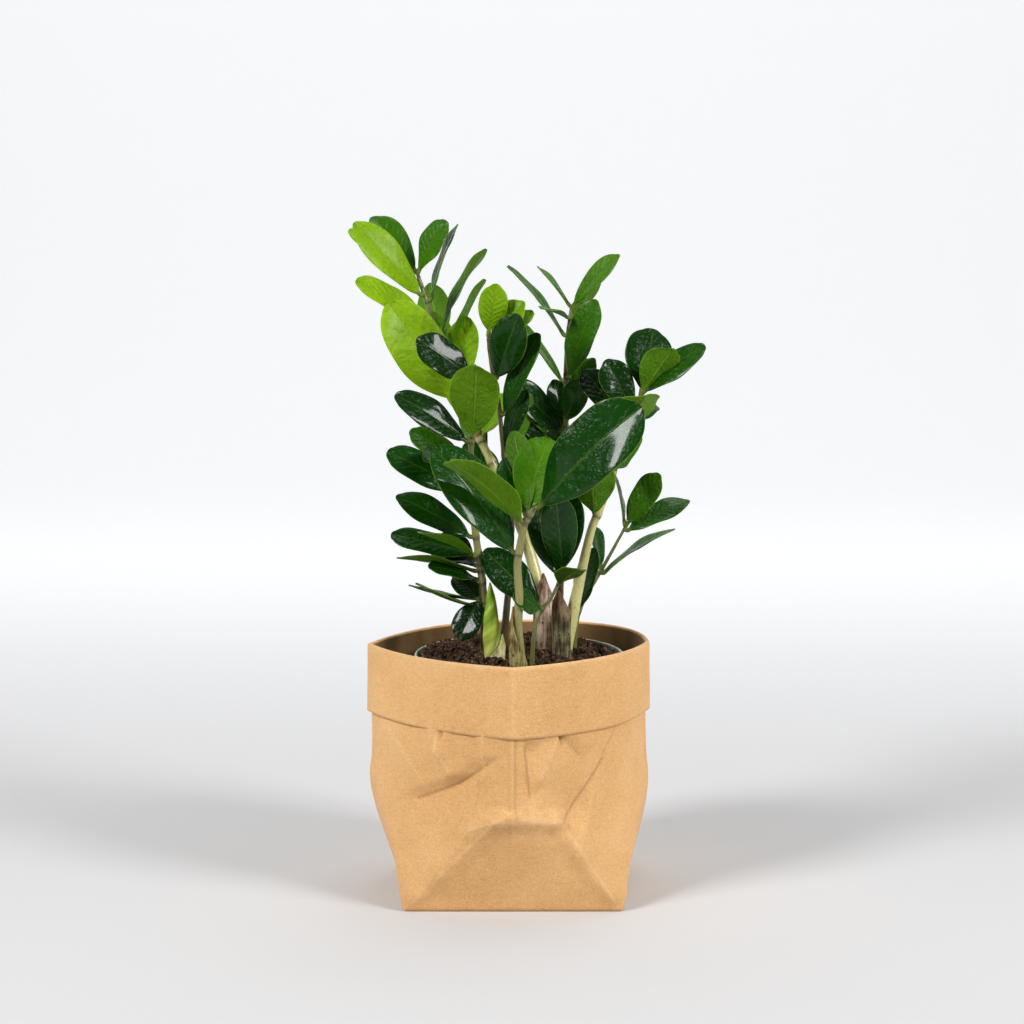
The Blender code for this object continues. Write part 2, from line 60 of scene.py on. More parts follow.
def surface(name, grid, around=False, ends=(None, None), smooth=True, **values):
    """A mesh over a grid of points (rows, columns, 3); each of values is a float attribute on its points.

    around joins the last column to the first. A "pole" in ends closes the first or last row with a point.
    """
    rows, columns = grid.shape[:2]
    points = grid.reshape(-1, 3)
    row = np.arange(rows - 1)[:, None] * columns
    column = np.arange(columns if around else columns - 1)
    after = (column + 1) % columns
    corners = (row + column, row + after, row + columns + after, row + columns + column)
    quads = np.stack(corners, -1).reshape(-1, 4)
    extra, caps = [], []
    for end, ring in zip(ends, (0, rows - 1)):
        if end != "pole":
            continue
        pole = len(points) + len(extra)
        extra.append(grid[ring].mean(0))
        first = ring * columns + np.arange(columns)
        second = np.roll(first, -1)
        pair = (second, first) if ring == 0 else (first, second)
        caps.append(np.stack([*pair, np.full(columns, pole)], -1))
    if extra:
        points = np.vstack([points, extra])
    loops = np.concatenate([quads.ravel()] + [cap.ravel() for cap in caps])
    sizes = np.concatenate([np.full(len(quads), 4)] + [np.full(len(cap), 3) for cap in caps])
    thing = mesh_object(name, points, loops, sizes, smooth)
    for key, value in values.items():
        value = np.broadcast_to(value, (rows, columns)).astype(float)
        tail = [value[ring].mean() for end, ring in zip(ends, (0, -1)) if end == "pole"]
        add_value(thing, key, np.concatenate([value.ravel(), tail]))
    return thing


def mesh_object(name, points, loops, sizes, smooth=True):
    """An object from corner indices (loops) and the number of corners of each face (sizes)."""
    mesh = bpy.data.meshes.new(name)
    mesh.vertices.add(len(points))
    mesh.vertices.foreach_set("co", np.ascontiguousarray(points, np.float32).ravel())
    mesh.loops.add(len(loops))
    mesh.loops.foreach_set("vertex_index", np.ascontiguousarray(loops, np.int32))
    mesh.polygons.add(len(sizes))
    mesh.polygons.foreach_set("loop_start", (np.cumsum(sizes) - sizes).astype(np.int32))
    mesh.polygons.foreach_set("use_smooth", np.full(len(sizes), smooth))
    mesh.update(calc_edges=True)
    mesh.validate()
    thing = bpy.data.objects.new(name, mesh)
    bpy.context.scene.collection.objects.link(thing)
    return thing


def add_value(thing, key, value):
    """A float attribute on the points of a mesh."""
    layer = thing.data.attributes.new(key, "FLOAT", "POINT")
    layer.data.foreach_set("value", np.ascontiguousarray(value, np.float32))


def place(thing, material, slot, *replaced):
    """Gives a piece its material and lets it stand for the CAD nodes in replaced, which it hides. slot is not
    used.
    """
    thing.data.materials.append(material)
    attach(thing, "root")
    if replaced:
        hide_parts(*replaced)


def unit(vector):
    """The vector or vectors at length 1."""
    return vector / np.maximum(np.linalg.norm(vector, axis=-1, keepdims=True), 1e-12)


def ease(x, low=0.0, high=1.0):
    """Smooth step from 0 at low to 1 at high."""
    t = np.clip((np.asarray(x, float) - low) / (high - low), 0, 1)
    return t * t * (3 - 2 * t)


def bell(x, width):
    """1 at 0, falling away over width on both sides as exp of minus a square."""
    return np.exp(-(np.asarray(x) / width) ** 2)


def ripple(u, v, seed, octaves=4):
    """Smooth seeded unevenness of two coordinates: waves in random directions, finer and weaker by octave."""
    rng = np.random.default_rng(seed)
    total = 0
    for octave in range(octaves):
        for _ in range(3):
            turn, shift = rng.uniform(0, 2 * np.pi, 2)
            way = u * np.cos(turn) + v * np.sin(turn)
            total = total + np.sin(way * 1.9 ** octave + shift) / 1.7 ** octave
    return total / 3


def coordinates(mesh):
    """The points of a mesh, as an array."""
    flat = np.empty(len(mesh.vertices) * 3, np.float32)
    mesh.vertices.foreach_get("co", flat)
    return flat.reshape(-1, 3).astype(float)


def points_of(node):
    """The points of a CAD node, each once."""
    return np.unique(np.round(coordinates(NODES[node].data), 6), axis=0)


# ---------------------------------------------------------------- materials


class Shader:
    """A Principled material built from short calls; every call returns an output socket."""

    def __init__(self, name):
        self.material = bpy.data.materials.new(name)
        self.material.use_nodes = True
        self.tree = self.material.node_tree
        self.main = self.tree.nodes["Principled BSDF"]

    def node(self, kind, output=0, settings=None, **inputs):
        made = self.tree.nodes.new("ShaderNode" + kind)
        for key, value in (settings or {}).items():
            setattr(made, key, value)
        for key, value in inputs.items():
            socket = int(key[1:]) if key[0] == "_" else key.replace("_", " ")
            self.join(made.inputs[socket], value)
        return made.outputs[output]

    def join(self, socket, value):
        """Links an output socket, or sets a number or a colour."""
        if isinstance(value, bpy.types.NodeSocket):
            self.tree.links.new(value, socket)
        elif isinstance(value, (tuple, list)) and len(value) == 3 and socket.type == "RGBA":
            socket.default_value = (*value, 1)
        else:
            socket.default_value = value

    def set(self, **inputs):
        """Fills sockets of the Principled shader, by their names with _ for a space."""
        for key, value in inputs.items():
            self.join(self.main.inputs[key.replace("_", " ")], value)

    def value(self, key):
        """One of the piece's own float attributes."""
        return self.node("Attribute", "Fac", {"attribute_name": key})

    def math(self, operation, a, b=0.0, clamp=False):
        return self.node("Math", 0, {"operation": operation, "use_clamp": clamp}, _0=a, _1=b)

    def plus(self, *values, clamp=False):
        """The sum of two or more values."""
        total = values[0]
        for value in values[1:]:
            total = self.math("ADD", total, value, clamp)
        return total

    def minus(self, a, b):
        return self.math("SUBTRACT", a, b)

    def times(self, a, b):
        return self.math("MULTIPLY", a, b)

    def range(self, value, low, high, to_low=0.0, to_high=1.0):
        """Smooth step from to_low, where value is low, to to_high, where it is high."""
        return self.node("MapRange", 0, {"interpolation_type": "SMOOTHSTEP"}, _0=value, _1=low, _2=high,
                         _3=to_low, _4=to_high)

    def over(self, body, *layers):
        """A colour with layers laid over it in turn, each a share and a colour."""
        for share, colour in layers:
            made = self.tree.nodes.new("ShaderNodeMix")
            made.data_type = "RGBA"
            if isinstance(colour, tuple):
                colour = srgb(*colour)
            for index, value in ((0, share), (6, body), (7, colour)):
                self.join(made.inputs[index], value)
            body = made.outputs[2]
        return body

    def ramp(self, value, *stops):
        """A colour that runs through stops as value rises, each a position and a colour."""
        made = self.tree.nodes.new("ShaderNodeValToRGB")
        band = made.color_ramp.elements
        while len(band) < len(stops):
            band.new(0.5)
        for element, (position, colour) in zip(band, stops):
            element.position = position
            element.color = (*srgb(*colour), 1)
        self.join(made.inputs[0], value)
        return made.outputs[0]

    def where(self, scale=(1, 1, 1)):
        """Object coordinates, drawn out along each axis by scale."""
        spot = self.node("TexCoord", "Object")
        return self.node("VectorMath", 0, {"operation": "MULTIPLY"}, _0=spot, _1=scale)

    def noise(self, scale, detail=3.0, rough=0.55, where=None, distortion=0.0):
        """Cloudy noise, about 0.5 on average."""
        return self.node("TexNoise", "Fac", None, Vector=where or self.where(), Scale=scale, Detail=detail,
                         Roughness=rough, Distortion=distortion)

    def cells(self, scale, feature="F1", where=None):
        """Distance to the middle, or the edge, of scattered cells."""
        where = where or self.where()
        return self.node("TexVoronoi", "Distance", {"feature": feature}, Vector=where, Scale=scale)

    def bump(self, height, distance, strength=1.0, **before):
        """A normal with relief of a height on it, laid over another Normal if one is given."""
        return self.node("Bump", 0, None, Height=height, Distance=distance, Strength=strength, **before)


def srgb(red, green, blue):
    """Linear colour from 0-255 display values."""
    c = np.array([red, green, blue]) / 255
    return tuple(float(x) for x in np.where(c <= 0.04045, c / 12.92, ((c + 0.055) / 1.055) ** 2.4))


# Side veins on each half of a blade, and the share of its length by which one climbs before the margin.
VEINS = 9.0
VEIN_CLIMB = 0.24


def leaf_material(name, gloss, glow, coat):
    """A fleshy leaflet: tone runs from near black green to lime. Veins, midrib and margin are paler.

    gloss is the roughness of the upper side, glow the light let through, and coat the wax on the upper side.
    across is -1 to 1 from margin to margin, along is 0 to 1 from base to tip, upper is 1 on the upper side.
    A side vein lies where along, less its climb, times the number of veins passes a whole number.
    """
    s = Shader(name)
    across, along, upper, tone = (s.value(key) for key in ("across", "along", "upper", "tone"))
    side = s.math("ABSOLUTE", across)
    under = s.minus(1.0, upper)
    # The veins of the two halves alternate, and each wanders a little.
    half = s.times(s.math("GREATER_THAN", across, 0.0), 0.5)
    climb = s.times(s.math("POWER", side, 0.8), VEIN_CLIMB)
    wander = s.times(s.noise(90.0, 2.0), 0.09)
    run = s.plus(s.times(s.plus(s.minus(along, climb), wander), VEINS), half)
    saw = s.math("ABSOLUTE", s.minus(s.math("FRACT", run), 0.5))
    vein = s.times(s.range(saw, 0.1, 0.0), s.range(side, 1.0, 0.55))
    pillow = s.range(saw, 0.0, 0.5)
    midrib = s.range(side, 0.075, 0.02)
    net = s.cells(420.0, "DISTANCE_TO_EDGE")
    crinkle = s.noise(230.0, 3.0, 0.6)
    mottle = s.noise(55.0, 4.0)
    fine = s.noise(700.0, 2.0)

    lift = s.plus(s.times(s.minus(mottle, 0.5), 0.22), s.times(s.minus(fine, 0.5), 0.06))
    shade = s.plus(s.plus(tone, lift), s.times(under, 0.06), clamp=True)
    body = s.ramp(shade, (0.0, (2, 26, 2)), (0.3, (14, 64, 3)), (0.55, (58, 110, 1)),
                  (0.85, (128, 168, 2)), (1.0, (176, 206, 30)))
    lace = s.range(s.cells(900.0, "DISTANCE_TO_EDGE"), 0.12, 0.02)
    body = s.over(body, (s.times(under, 0.12), (128, 160, 30)),
                  (s.times(s.times(under, lace), 0.12), (150, 176, 80)),
                  (s.times(vein, s.range(tone, 0.1, 0.8, 0.015, 0.1)), (150, 186, 50)),
                  (s.times(midrib, s.range(under, 0.0, 1.0, 0.08, 0.4)), (150, 186, 60)),
                  (s.times(s.range(side, 0.955, 0.99), 0.4), (150, 180, 60)),
                  (s.times(s.range(along, 0.06, 0.0), 0.7), (120, 130, 62)))

    rough = s.plus(s.range(under, 0.0, 1.0, gloss, gloss + 0.2), s.times(mottle, 0.12))
    s.set(Base_Color=body, Roughness=rough, IOR=1.45, Specular_IOR_Level=0.13)
    s.set(Coat_Weight=s.range(under, 0.0, 1.0, coat, 0.02), Coat_Roughness=gloss * 0.55)
    s.set(Subsurface_Weight=glow, Subsurface_Radius=(0.6, 1.0, 0.25), Subsurface_Scale=0.0016)

    # Side veins and the midrib are grooves above and ridges below.
    relief = s.plus(s.times(pillow, 0.28), s.times(net, 0.7), s.times(crinkle, 2.4))
    relief = s.minus(relief, s.times(vein, s.range(upper, 0.0, 1.0, -0.6, 0.12)))
    relief = s.minus(relief, s.times(midrib, s.range(upper, 0.0, 1.0, -1.2, 0.6)))
    broad = s.bump(s.noise(120.0, 2.0), 0.0012, 0.7)
    s.set(Normal=s.bump(relief, 0.0005, 0.9, Normal=broad))
    return s.material


def stalk_material():
    """A smooth stalk: tone runs from green to cream, age browns it, and ring darkens it below a leaflet."""
    s = Shader("stalk_skin")
    ring, tone, age = (s.value(key) for key in ("ring", "tone", "age"))
    streak = s.noise(1.0, 4.0, 0.6, s.where((620, 620, 55)))
    speck = s.cells(1.0, "F1", s.where((900, 900, 420)))
    fresh = s.ramp(s.plus(tone, s.times(s.minus(streak, 0.5), 0.5)), (0.0, (56, 80, 22)),
                   (0.35, (112, 118, 54)), (0.65, (160, 154, 92)), (1.0, (214, 208, 138)))
    brown = s.ramp(streak, (0.25, (58, 42, 26)), (0.55, (96, 76, 48)), (0.8, (132, 112, 78)))
    body = s.over(fresh, (age, brown), (s.times(s.range(speck, 0.3, 0.12), 0.4), (66, 62, 34)),
                  (s.times(ring, 0.85), (50, 40, 24)))
    s.set(Base_Color=body, Roughness=s.range(streak, 0.2, 0.8, 0.3, 0.46))
    s.set(Coat_Weight=0.3, Coat_Roughness=0.2)
    s.set(Subsurface_Weight=0.08, Subsurface_Radius=(1.0, 0.8, 0.3), Subsurface_Scale=0.0012)
    s.set(Normal=s.bump(s.minus(streak, s.times(ring, 0.6)), 0.00025, 0.6))
    return s.material


def sheath_material(name, light, middle, dark, tip, scale):
    """A dry papery sheath: upright fibres, blotches, dark spots and a darker or redder tip."""
    s = Shader(name)
    height = s.value("height")
    fibre = s.noise(1.0, 5.0, 0.65, s.where((900, 900, 60)))
    blotch = s.noise(170.0, 4.0, 0.6)
    spot = s.cells(230.0)
    shade = s.plus(s.times(fibre, 0.6), s.times(blotch, 0.5))
    body = s.ramp(shade, (0.45, dark), (0.53, middle), (0.62, light))
    body = s.over(body, (s.times(s.range(height, 0.5, 1.0), 0.65), tip),
                  (s.times(s.range(spot, 0.22, 0.1), s.range(blotch, 0.4, 0.6, 0.0, 0.9)), dark))
    s.set(Base_Color=body, Roughness=0.72, Specular_IOR_Level=0.3)
    s.set(Normal=s.bump(s.plus(fibre, s.times(blotch, 0.6)), 0.0005 * scale, 0.9))
    return s.material


def paper_material(name, inner):
    """Kraft paper: fibres and flecks, painted highlight along ridges, painted shade in folds, and browner
    painted shade inside.
    """
    s = Shader(name)
    ridge = s.value("ridge")
    mottle = s.noise(75.0, 5.0, 0.6)
    cloud = s.noise(16.0, 3.0)
    grain = s.noise(1400.0, 4.0, 0.7)
    fibre = s.noise(1.0, 4.0, 0.65, s.where((300, 300, 900)), 0.6)
    fleck = s.cells(520.0)
    shade = s.plus(s.times(grain, 0.6), s.times(mottle, 0.16), s.times(fibre, 0.25),
                   s.times(s.minus(cloud, 0.5), 0.25))
    body = s.ramp(shade, (0.28, (186, 136, 82)), (0.48, (216, 167, 108)), (0.72, (240, 196, 142)))
    # Painted highlight along ridges, painted shade in folds, and painted shade on the floor and wall by the
    # strength given.
    body = s.over(body, (s.range(ridge, 0.0, 1.0, 0.0, 0.4), (238, 202, 152)),
                  (s.range(ridge, 0.0, -1.0, 0.0, 0.55), (150, 104, 60)),
                  (s.times(s.range(fleck, 0.12, 0.05), 0.35), (128, 88, 50)),
                  (s.times(s.value("deep"), inner), (92, 66, 40)))
    s.set(Base_Color=body, Roughness=0.82, Specular_IOR_Level=0.25, Sheen_Weight=0.15, Sheen_Roughness=0.5)
    s.set(Normal=s.bump(mottle, 0.0006, 0.4, Normal=s.bump(grain, 0.00012, 0.7)))
    return s.material


def soil_material(name, dark, middle, light):
    """Matt crumbly stuff whose colour follows its lumps."""
    s = Shader(name)
    lump = s.noise(420.0, 5.0, 0.7)
    grit = s.cells(900.0)
    body = s.ramp(lump, (0.35, dark), (0.55, middle), (0.78, light))
    s.set(Base_Color=body, Roughness=0.95, Specular_IOR_Level=0.15)
    s.set(Normal=s.bump(s.plus(lump, s.times(grit, 0.5)), 0.0012, 0.9))
    return s.material


def plastic_material():
    """Thin grey-green plastic, cloudy and scuffed along its height."""
    s = Shader("pot_plastic")
    scuff = s.noise(1.0, 4.0, 0.6, s.where((90, 90, 700)))
    cloud = s.noise(45.0, 3.0)
    body = s.ramp(cloud, (0.3, (150, 168, 148)), (0.7, (196, 208, 188)))
    s.set(Base_Color=body, Roughness=s.range(scuff, 0.3, 0.7, 0.28, 0.45), Subsurface_Weight=0.1)
    s.set(Subsurface_Radius=(1.0, 1.0, 0.8), Subsurface_Scale=0.001, Normal=s.bump(scuff, 0.0001, 0.4))
    return s.material


def shoot_material():
    """The rolled young leaf: lime, with pale diagonal pleats as painted highlight and dark clefts as painted
    shade, cream at its foot.
    """
    s = Shader("new_shoot_skin")
    height, pleat, cleft = s.value("height"), s.value("pleat"), s.value("cleft")
    streak = s.noise(1.0, 3.0, 0.5, s.where((700, 700, 90)))
    body = s.ramp(height, (0.0, (196, 186, 124)), (0.34, (188, 190, 104)), (0.52, (144, 176, 24)),
                  (0.85, (120, 160, 20)), (1.0, (84, 128, 20)))
    # Painted highlight on the pleat crests and the free edge, painted shade under the edge and in the pleat
    # troughs.
    body = s.over(body, (s.times(pleat, 0.45), (214, 228, 104)), (s.times(cleft, 0.5), (44, 84, 12)),
                  (s.range(streak, 0.55, 0.8, 0.0, 0.35), (90, 110, 34)))
    s.set(Base_Color=body, Roughness=0.36)
    s.set(Subsurface_Weight=0.3, Subsurface_Radius=(0.8, 1.0, 0.2), Subsurface_Scale=0.0015, Coat_Weight=0.2)
    s.set(Normal=s.bump(s.plus(streak, pleat), 0.0002, 0.6))
    return s.material


LEAVES = {slot: leaf_material(slot, *looks) for slot, *looks in (
    ("young_leaf", 0.42, 0.35, 0.1), ("mid_leaf", 0.28, 0.16, 0.2), ("mature_leaf", 0.2, 0.05, 0.26))}


# ---------------------------------------------------------------- stalks

ROOT_DEPTH = 12 * MM  # length of a stalk that is in the soil
CUTS = 44  # level cuts through a CAD stalk
FIRST_CUT, LAST_CUT = 0.6 * MM, 1.2 * MM  # their distance from its two ends
SWELLING = 1.6 * MM  # reach of the swelling where a leaflet leaves


class Stem:
    """The centre line and radius of a CAD stalk, from level cuts through its mesh."""

    def __init__(self, frond):
        mesh = NODES[f"{frond}_stem"].data
        mesh.calc_loop_triangles()
        corners = np.empty(len(mesh.loop_triangles) * 3, np.int32)
        mesh.loop_triangles.foreach_get("vertices", corners)
        triangles = coordinates(mesh)[corners].reshape(-1, 3, 3)
        edges = np.concatenate([triangles[:, [0, 1]], triangles[:, [1, 2]], triangles[:, [2, 0]]])
        low, high = triangles[..., 2].min(), triangles[..., 2].max()
        levels = np.linspace(low + FIRST_CUT, high - LAST_CUT, CUTS)
        rings = []
        for level in levels:
            gap = edges[..., 2] - level
            crossed = edges[gap[:, 0] * gap[:, 1] < 0]
            share = ((level - crossed[:, 0, 2]) / (crossed[:, 1, 2] - crossed[:, 0, 2]))[:, None]
            rings.append(crossed[:, 0] + (crossed[:, 1] - crossed[:, 0]) * share)
        line = np.array([ring.mean(0) for ring in rings])
        smooth = line.copy()
        smooth[1:-1] = (line[:-2] + 2 * line[1:-1] + line[2:]) / 4
        heading = unit(np.gradient(smooth, axis=0))
        radii = []
        for ring, centre, way in zip(rings, smooth, heading):
            off = ring - centre
            off -= np.outer(off @ way, way)
            radii.append(np.linalg.norm(off, axis=1).mean())
        first = smooth[0] - heading[0] * FIRST_CUT / heading[0][2]
        last = smooth[-1] + heading[-1] * 1.0 * MM / heading[-1][2]
        self.line = np.vstack([first, smooth, last])
        self.radii = np.array([radii[0], *radii, radii[-1]]) * 1.04
        steps = np.linalg.norm(np.diff(self.line, axis=0), axis=1)
        self.lengths = np.concatenate([[0], np.cumsum(steps)])
        self.whole = self.lengths[-1]
        self.nodes = []

    def at(self, length):
        """The point or points at a length along the line."""
        return np.stack([np.interp(length, self.lengths, self.line[:, axis]) for axis in range(3)], -1)

    def share(self, share):
        """Length along the line at a share of the part above the soil."""
        return ROOT_DEPTH + (self.whole - ROOT_DEPTH) * share

    def radius(self, length):
        """Radius of the stalk at a length along the line."""
        return np.interp(length, self.lengths, self.radii)

    def nearest(self, point):
        """Length along the line where it is nearest to a point."""
        lengths = np.linspace(0, self.whole, 400)
        return lengths[np.linalg.norm(self.at(lengths) - point, axis=1).argmin()]

    def gap(self, point):
        """Distance from a point to the line."""
        return np.linalg.norm(self.at(self.nearest(point)) - point)


def grow_stalk(frond, stem, age, pale, seed):
    """A circle swept along the stem's line, with the CAD stalk's radius, swollen where leaflets leave it."""
    rows = int(stem.whole / (0.9 * MM))
    lengths = np.linspace(0, stem.whole, rows)
    line = stem.at(lengths)
    way = unit(np.gradient(line, axis=0))
    right = unit(np.cross(way, (0.0, 1.0, 0.0)))
    back = np.cross(right, way)
    turn = np.linspace(0, 2 * np.pi, 28, endpoint=False)
    off = lengths[:, None] - np.array(stem.nodes)
    swell = bell(off, SWELLING).max(1)
    ring = bell(off + 1.3 * MM, 0.7 * MM).max(1)
    radius = stem.radius(lengths) * (1 + 0.16 * swell)
    radius *= 1 - 0.75 * ease(lengths, stem.whole - 1.2 * MM, stem.whole)
    spread = radius[:, None] * (1 + 0.035 * ripple(turn, lengths[:, None] / (9 * MM), seed, 3))
    circle = np.cos(turn)[:, None] * right[:, None] + np.sin(turn)[:, None] * back[:, None]
    grid = line[:, None] + spread[..., None] * circle
    tone = pale[0] + (pale[1] - pale[0]) * (lengths / stem.whole)[:, None]
    name = f"{frond}_stalk"
    return surface(name, grid[:, ::-1], True, ("pole", "pole"), ring=ring[:, None], tone=tone, age=age)


# ---------------------------------------------------------------- leaflets

# Places across half a blade, close together at the midrib and the margin.
HALF = np.array([0.0, 0.025, 0.055, 0.1, 0.17, 0.27, 0.38, 0.5, 0.62, 0.73, 0.83, 0.91, 0.965, 0.992])
ACROSS = np.concatenate([-HALF[:0:-1], HALF])
BLADE_ROWS = 46
WIDEST = 0.58  # share of the length where the blade is widest
NECK_ROWS = 6
HALF_THICKNESS = 0.5 * MM


def leaf_outline(along):
    """Half width as a share of the widest: it tapers to the neck, and the tip is round and blunt."""
    t = np.clip(along, 0, 1)
    lower = np.sin(np.pi / 2 * np.minimum(t / WIDEST, 1)) ** 0.8
    upper = np.sqrt(np.clip(1 - (np.maximum(t - WIDEST, 0) / (1 - WIDEST)) ** 2.6, 0, 1))
    return lower * upper


def read_leaf(node, stem):
    """Base, reach, width, facing, arch and fold of a CAD leaflet, by least squares on its points."""
    points = points_of(node)
    middle = points.mean(0)
    axis = np.linalg.svd(points - middle, full_matrices=False)[2][0]
    run = (points - middle) @ axis
    ends = [points[run < run.min() + 1.0 * MM].mean(0), points[run > run.max() - 1.0 * MM].mean(0)]
    base, tip = sorted(ends, key=stem.gap)
    reach = tip - base
    length = np.linalg.norm(reach)
    along = reach / length
    off = points - base
    x = off @ along
    flat = off - np.outer(x, along)
    across = np.linalg.svd(flat - flat.mean(0), full_matrices=False)[2][0]
    up = np.cross(along, across)
    y, z = off @ across, off @ up
    basis = np.stack([np.ones(len(x)), 4 * x / length * (1 - x / length), np.abs(y)], -1)
    sag, fold = np.linalg.lstsq(basis, z, rcond=None)[0][1:]
    if fold < 0:
        up, sag, fold = -up, -sag, -fold
    return base, reach, 2 * np.abs(y).max(), up, np.degrees(4 * np.arctan(2 * sag / length)), fold


def leaf_line(stem, base, along, across, up, length, arch, root, rng):
    """Neck and midrib, and the share of the blade at each point.

    The neck curves from the root, on the stalk's line, to the base. The midrib is an arc of arch degrees.
    """
    t = (1 - np.cos(np.pi * np.linspace(0.02, 1, BLADE_ROWS) ** 0.9)) / 2
    bend = np.radians(arch if abs(arch) > 1 else 1)
    arc = length / (2 * np.sin(bend / 2))
    x = arc * (np.sin(bend / 2) - np.sin(bend * (0.5 - t))) + 0.9 * MM * ease(t, 0.965, 1)
    z = arc * (np.cos(bend * (0.5 - t)) - np.cos(bend / 2))
    sway = rng.normal(0, 0.008) * length * np.sin(np.pi * t) + rng.normal(0, 0.012) * length * t ** 2
    blade = base + x[:, None] * along + z[:, None] * up + sway[:, None] * across
    if root is None:
        root = stem.at(min(stem.nearest(base), stem.whole - 0.3 * MM))
    stub = np.linspace(0, 1, NECK_ROWS, endpoint=False)[:, None]
    pull = base - along * np.linalg.norm(base - root) * 0.5
    neck = root * (1 - stub) ** 2 + pull * 2 * stub * (1 - stub) + base * stub ** 2
    return np.vstack([neck, blade]), np.concatenate([np.zeros(NECK_ROWS), t])


def grow_leaf(name, stem, base, reach, width, facing, arch, fold, tone, seed, root=None):
    """A fleshy blade on a short neck.

    Each section is a lens, lifted by fold times the distance from the midrib, with a groove above and a rib
    below. The margins curl and ripple, and the neck is round.
    """
    rng = np.random.default_rng(seed)
    length = np.linalg.norm(reach)
    along = reach / length
    up = unit(facing - along * (facing @ along))
    across = np.cross(up, along)
    line, t = leaf_line(stem, base, along, across, up, length, arch, root, rng)

    way = unit(np.gradient(line, axis=0))
    twist = rng.normal(0, 0.10) * (t - 0.3)
    side = unit(across - way * (way @ across)[:, None])
    normal = np.cross(way, side)
    side = side * np.cos(twist)[:, None] + normal * np.sin(twist)[:, None]
    normal = np.cross(way, side)

    t = t[:, None]
    neck_radius = min(1.1 * MM, 0.06 * width + 0.35 * MM)
    half = np.maximum(width / 2 * leaf_outline(t), neck_radius * (1 - ease(t, 0.0, 0.12)))
    half = np.maximum(half, 0.25 * MM * (t < 0.999))
    blade = ease(t, 0.0, 0.10)
    thick = neck_radius * (1 - blade) + HALF_THICKNESS * blade * (1 - 0.5 * ease(t, 0.8, 1))
    s = np.concatenate([ACROSS, ACROSS[-2:0:-1]])
    upper = np.concatenate([np.ones(len(ACROSS)), np.zeros(len(ACROSS) - 2)])
    upper[0] = upper[len(ACROSS) - 1] = 0.5
    face = 2 * upper - 1
    out_share = np.abs(s)

    y = s * half * (1 + rng.normal(0, 0.035) * np.sign(s))
    lens = np.sqrt(np.clip(1 - out_share ** (2 + 3 * blade), 0, 1)) * thick * face
    dent = -0.22 * MM * bell(y, 0.55 * MM) * (face > 0) * blade * (1 - 0.8 * t)
    rib = -0.42 * MM * bell(y, 0.7 * MM) * (face < 0) * blade * (1 - 0.75 * t)
    folded = fold * (np.sqrt(y ** 2 + (1.2 * MM) ** 2) - 1.2 * MM) * blade
    curl = -0.10 * half * out_share ** 4 * blade * rng.uniform(0.2, 1.0)
    shift, rate = rng.uniform(0, 6.3), rng.uniform(1.2, 2.0)
    wave = 0.035 * width * out_share ** 2 * np.sin(2 * np.pi * rate * t + shift + 1.4 * np.sign(s)) * blade
    veins = 0.025 * MM * np.cos(2 * np.pi * VEINS * (t - VEIN_CLIMB * out_share ** 0.8) + np.pi * (s > 0))
    veins = veins * blade * np.sin(np.pi * out_share) * face
    out = lens + dent + rib + folded + curl + wave + veins
    grid = line[:, None] + y[..., None] * side[:, None] + out[..., None] * normal[:, None]
    return surface(name, grid, True, ("pole", "pole"), across=s, along=t, upper=upper, tone=tone)


# Tone of each CAD leaflet, from near black green at 0 to lime at 1.
TONES = {
    "tall_frond": (0.46, 0.84, 0.84, 0.86, 0.6, 0.5, 0.42, 0.42, 0.46),
    "centre_frond": (0.76, 0.74, 0.2, 0.3),
    # Leaflets 4 and 5 of the left frond are given lighter tones than their own green: painted reflected
    # light.
    "left_frond": (0.1, 0.12, 0.55, 0.26, 0.28, 0.44, 0.24, 0.32, 0.06),
    "front_frond": (0.28, 0.54, 0.56, 0.22),
    "back_frond": (0.44, 0.56, 0.46, 0.5, 0.16),
    "right_frond": (0.16, 0.32, 0.14, 0.56, 0.5, 0.46),
    "side_sprig": (0.5, 0.4, 0.46, 0.2),
    "low_sprig": (0.18, 0.18, 0.24),
}

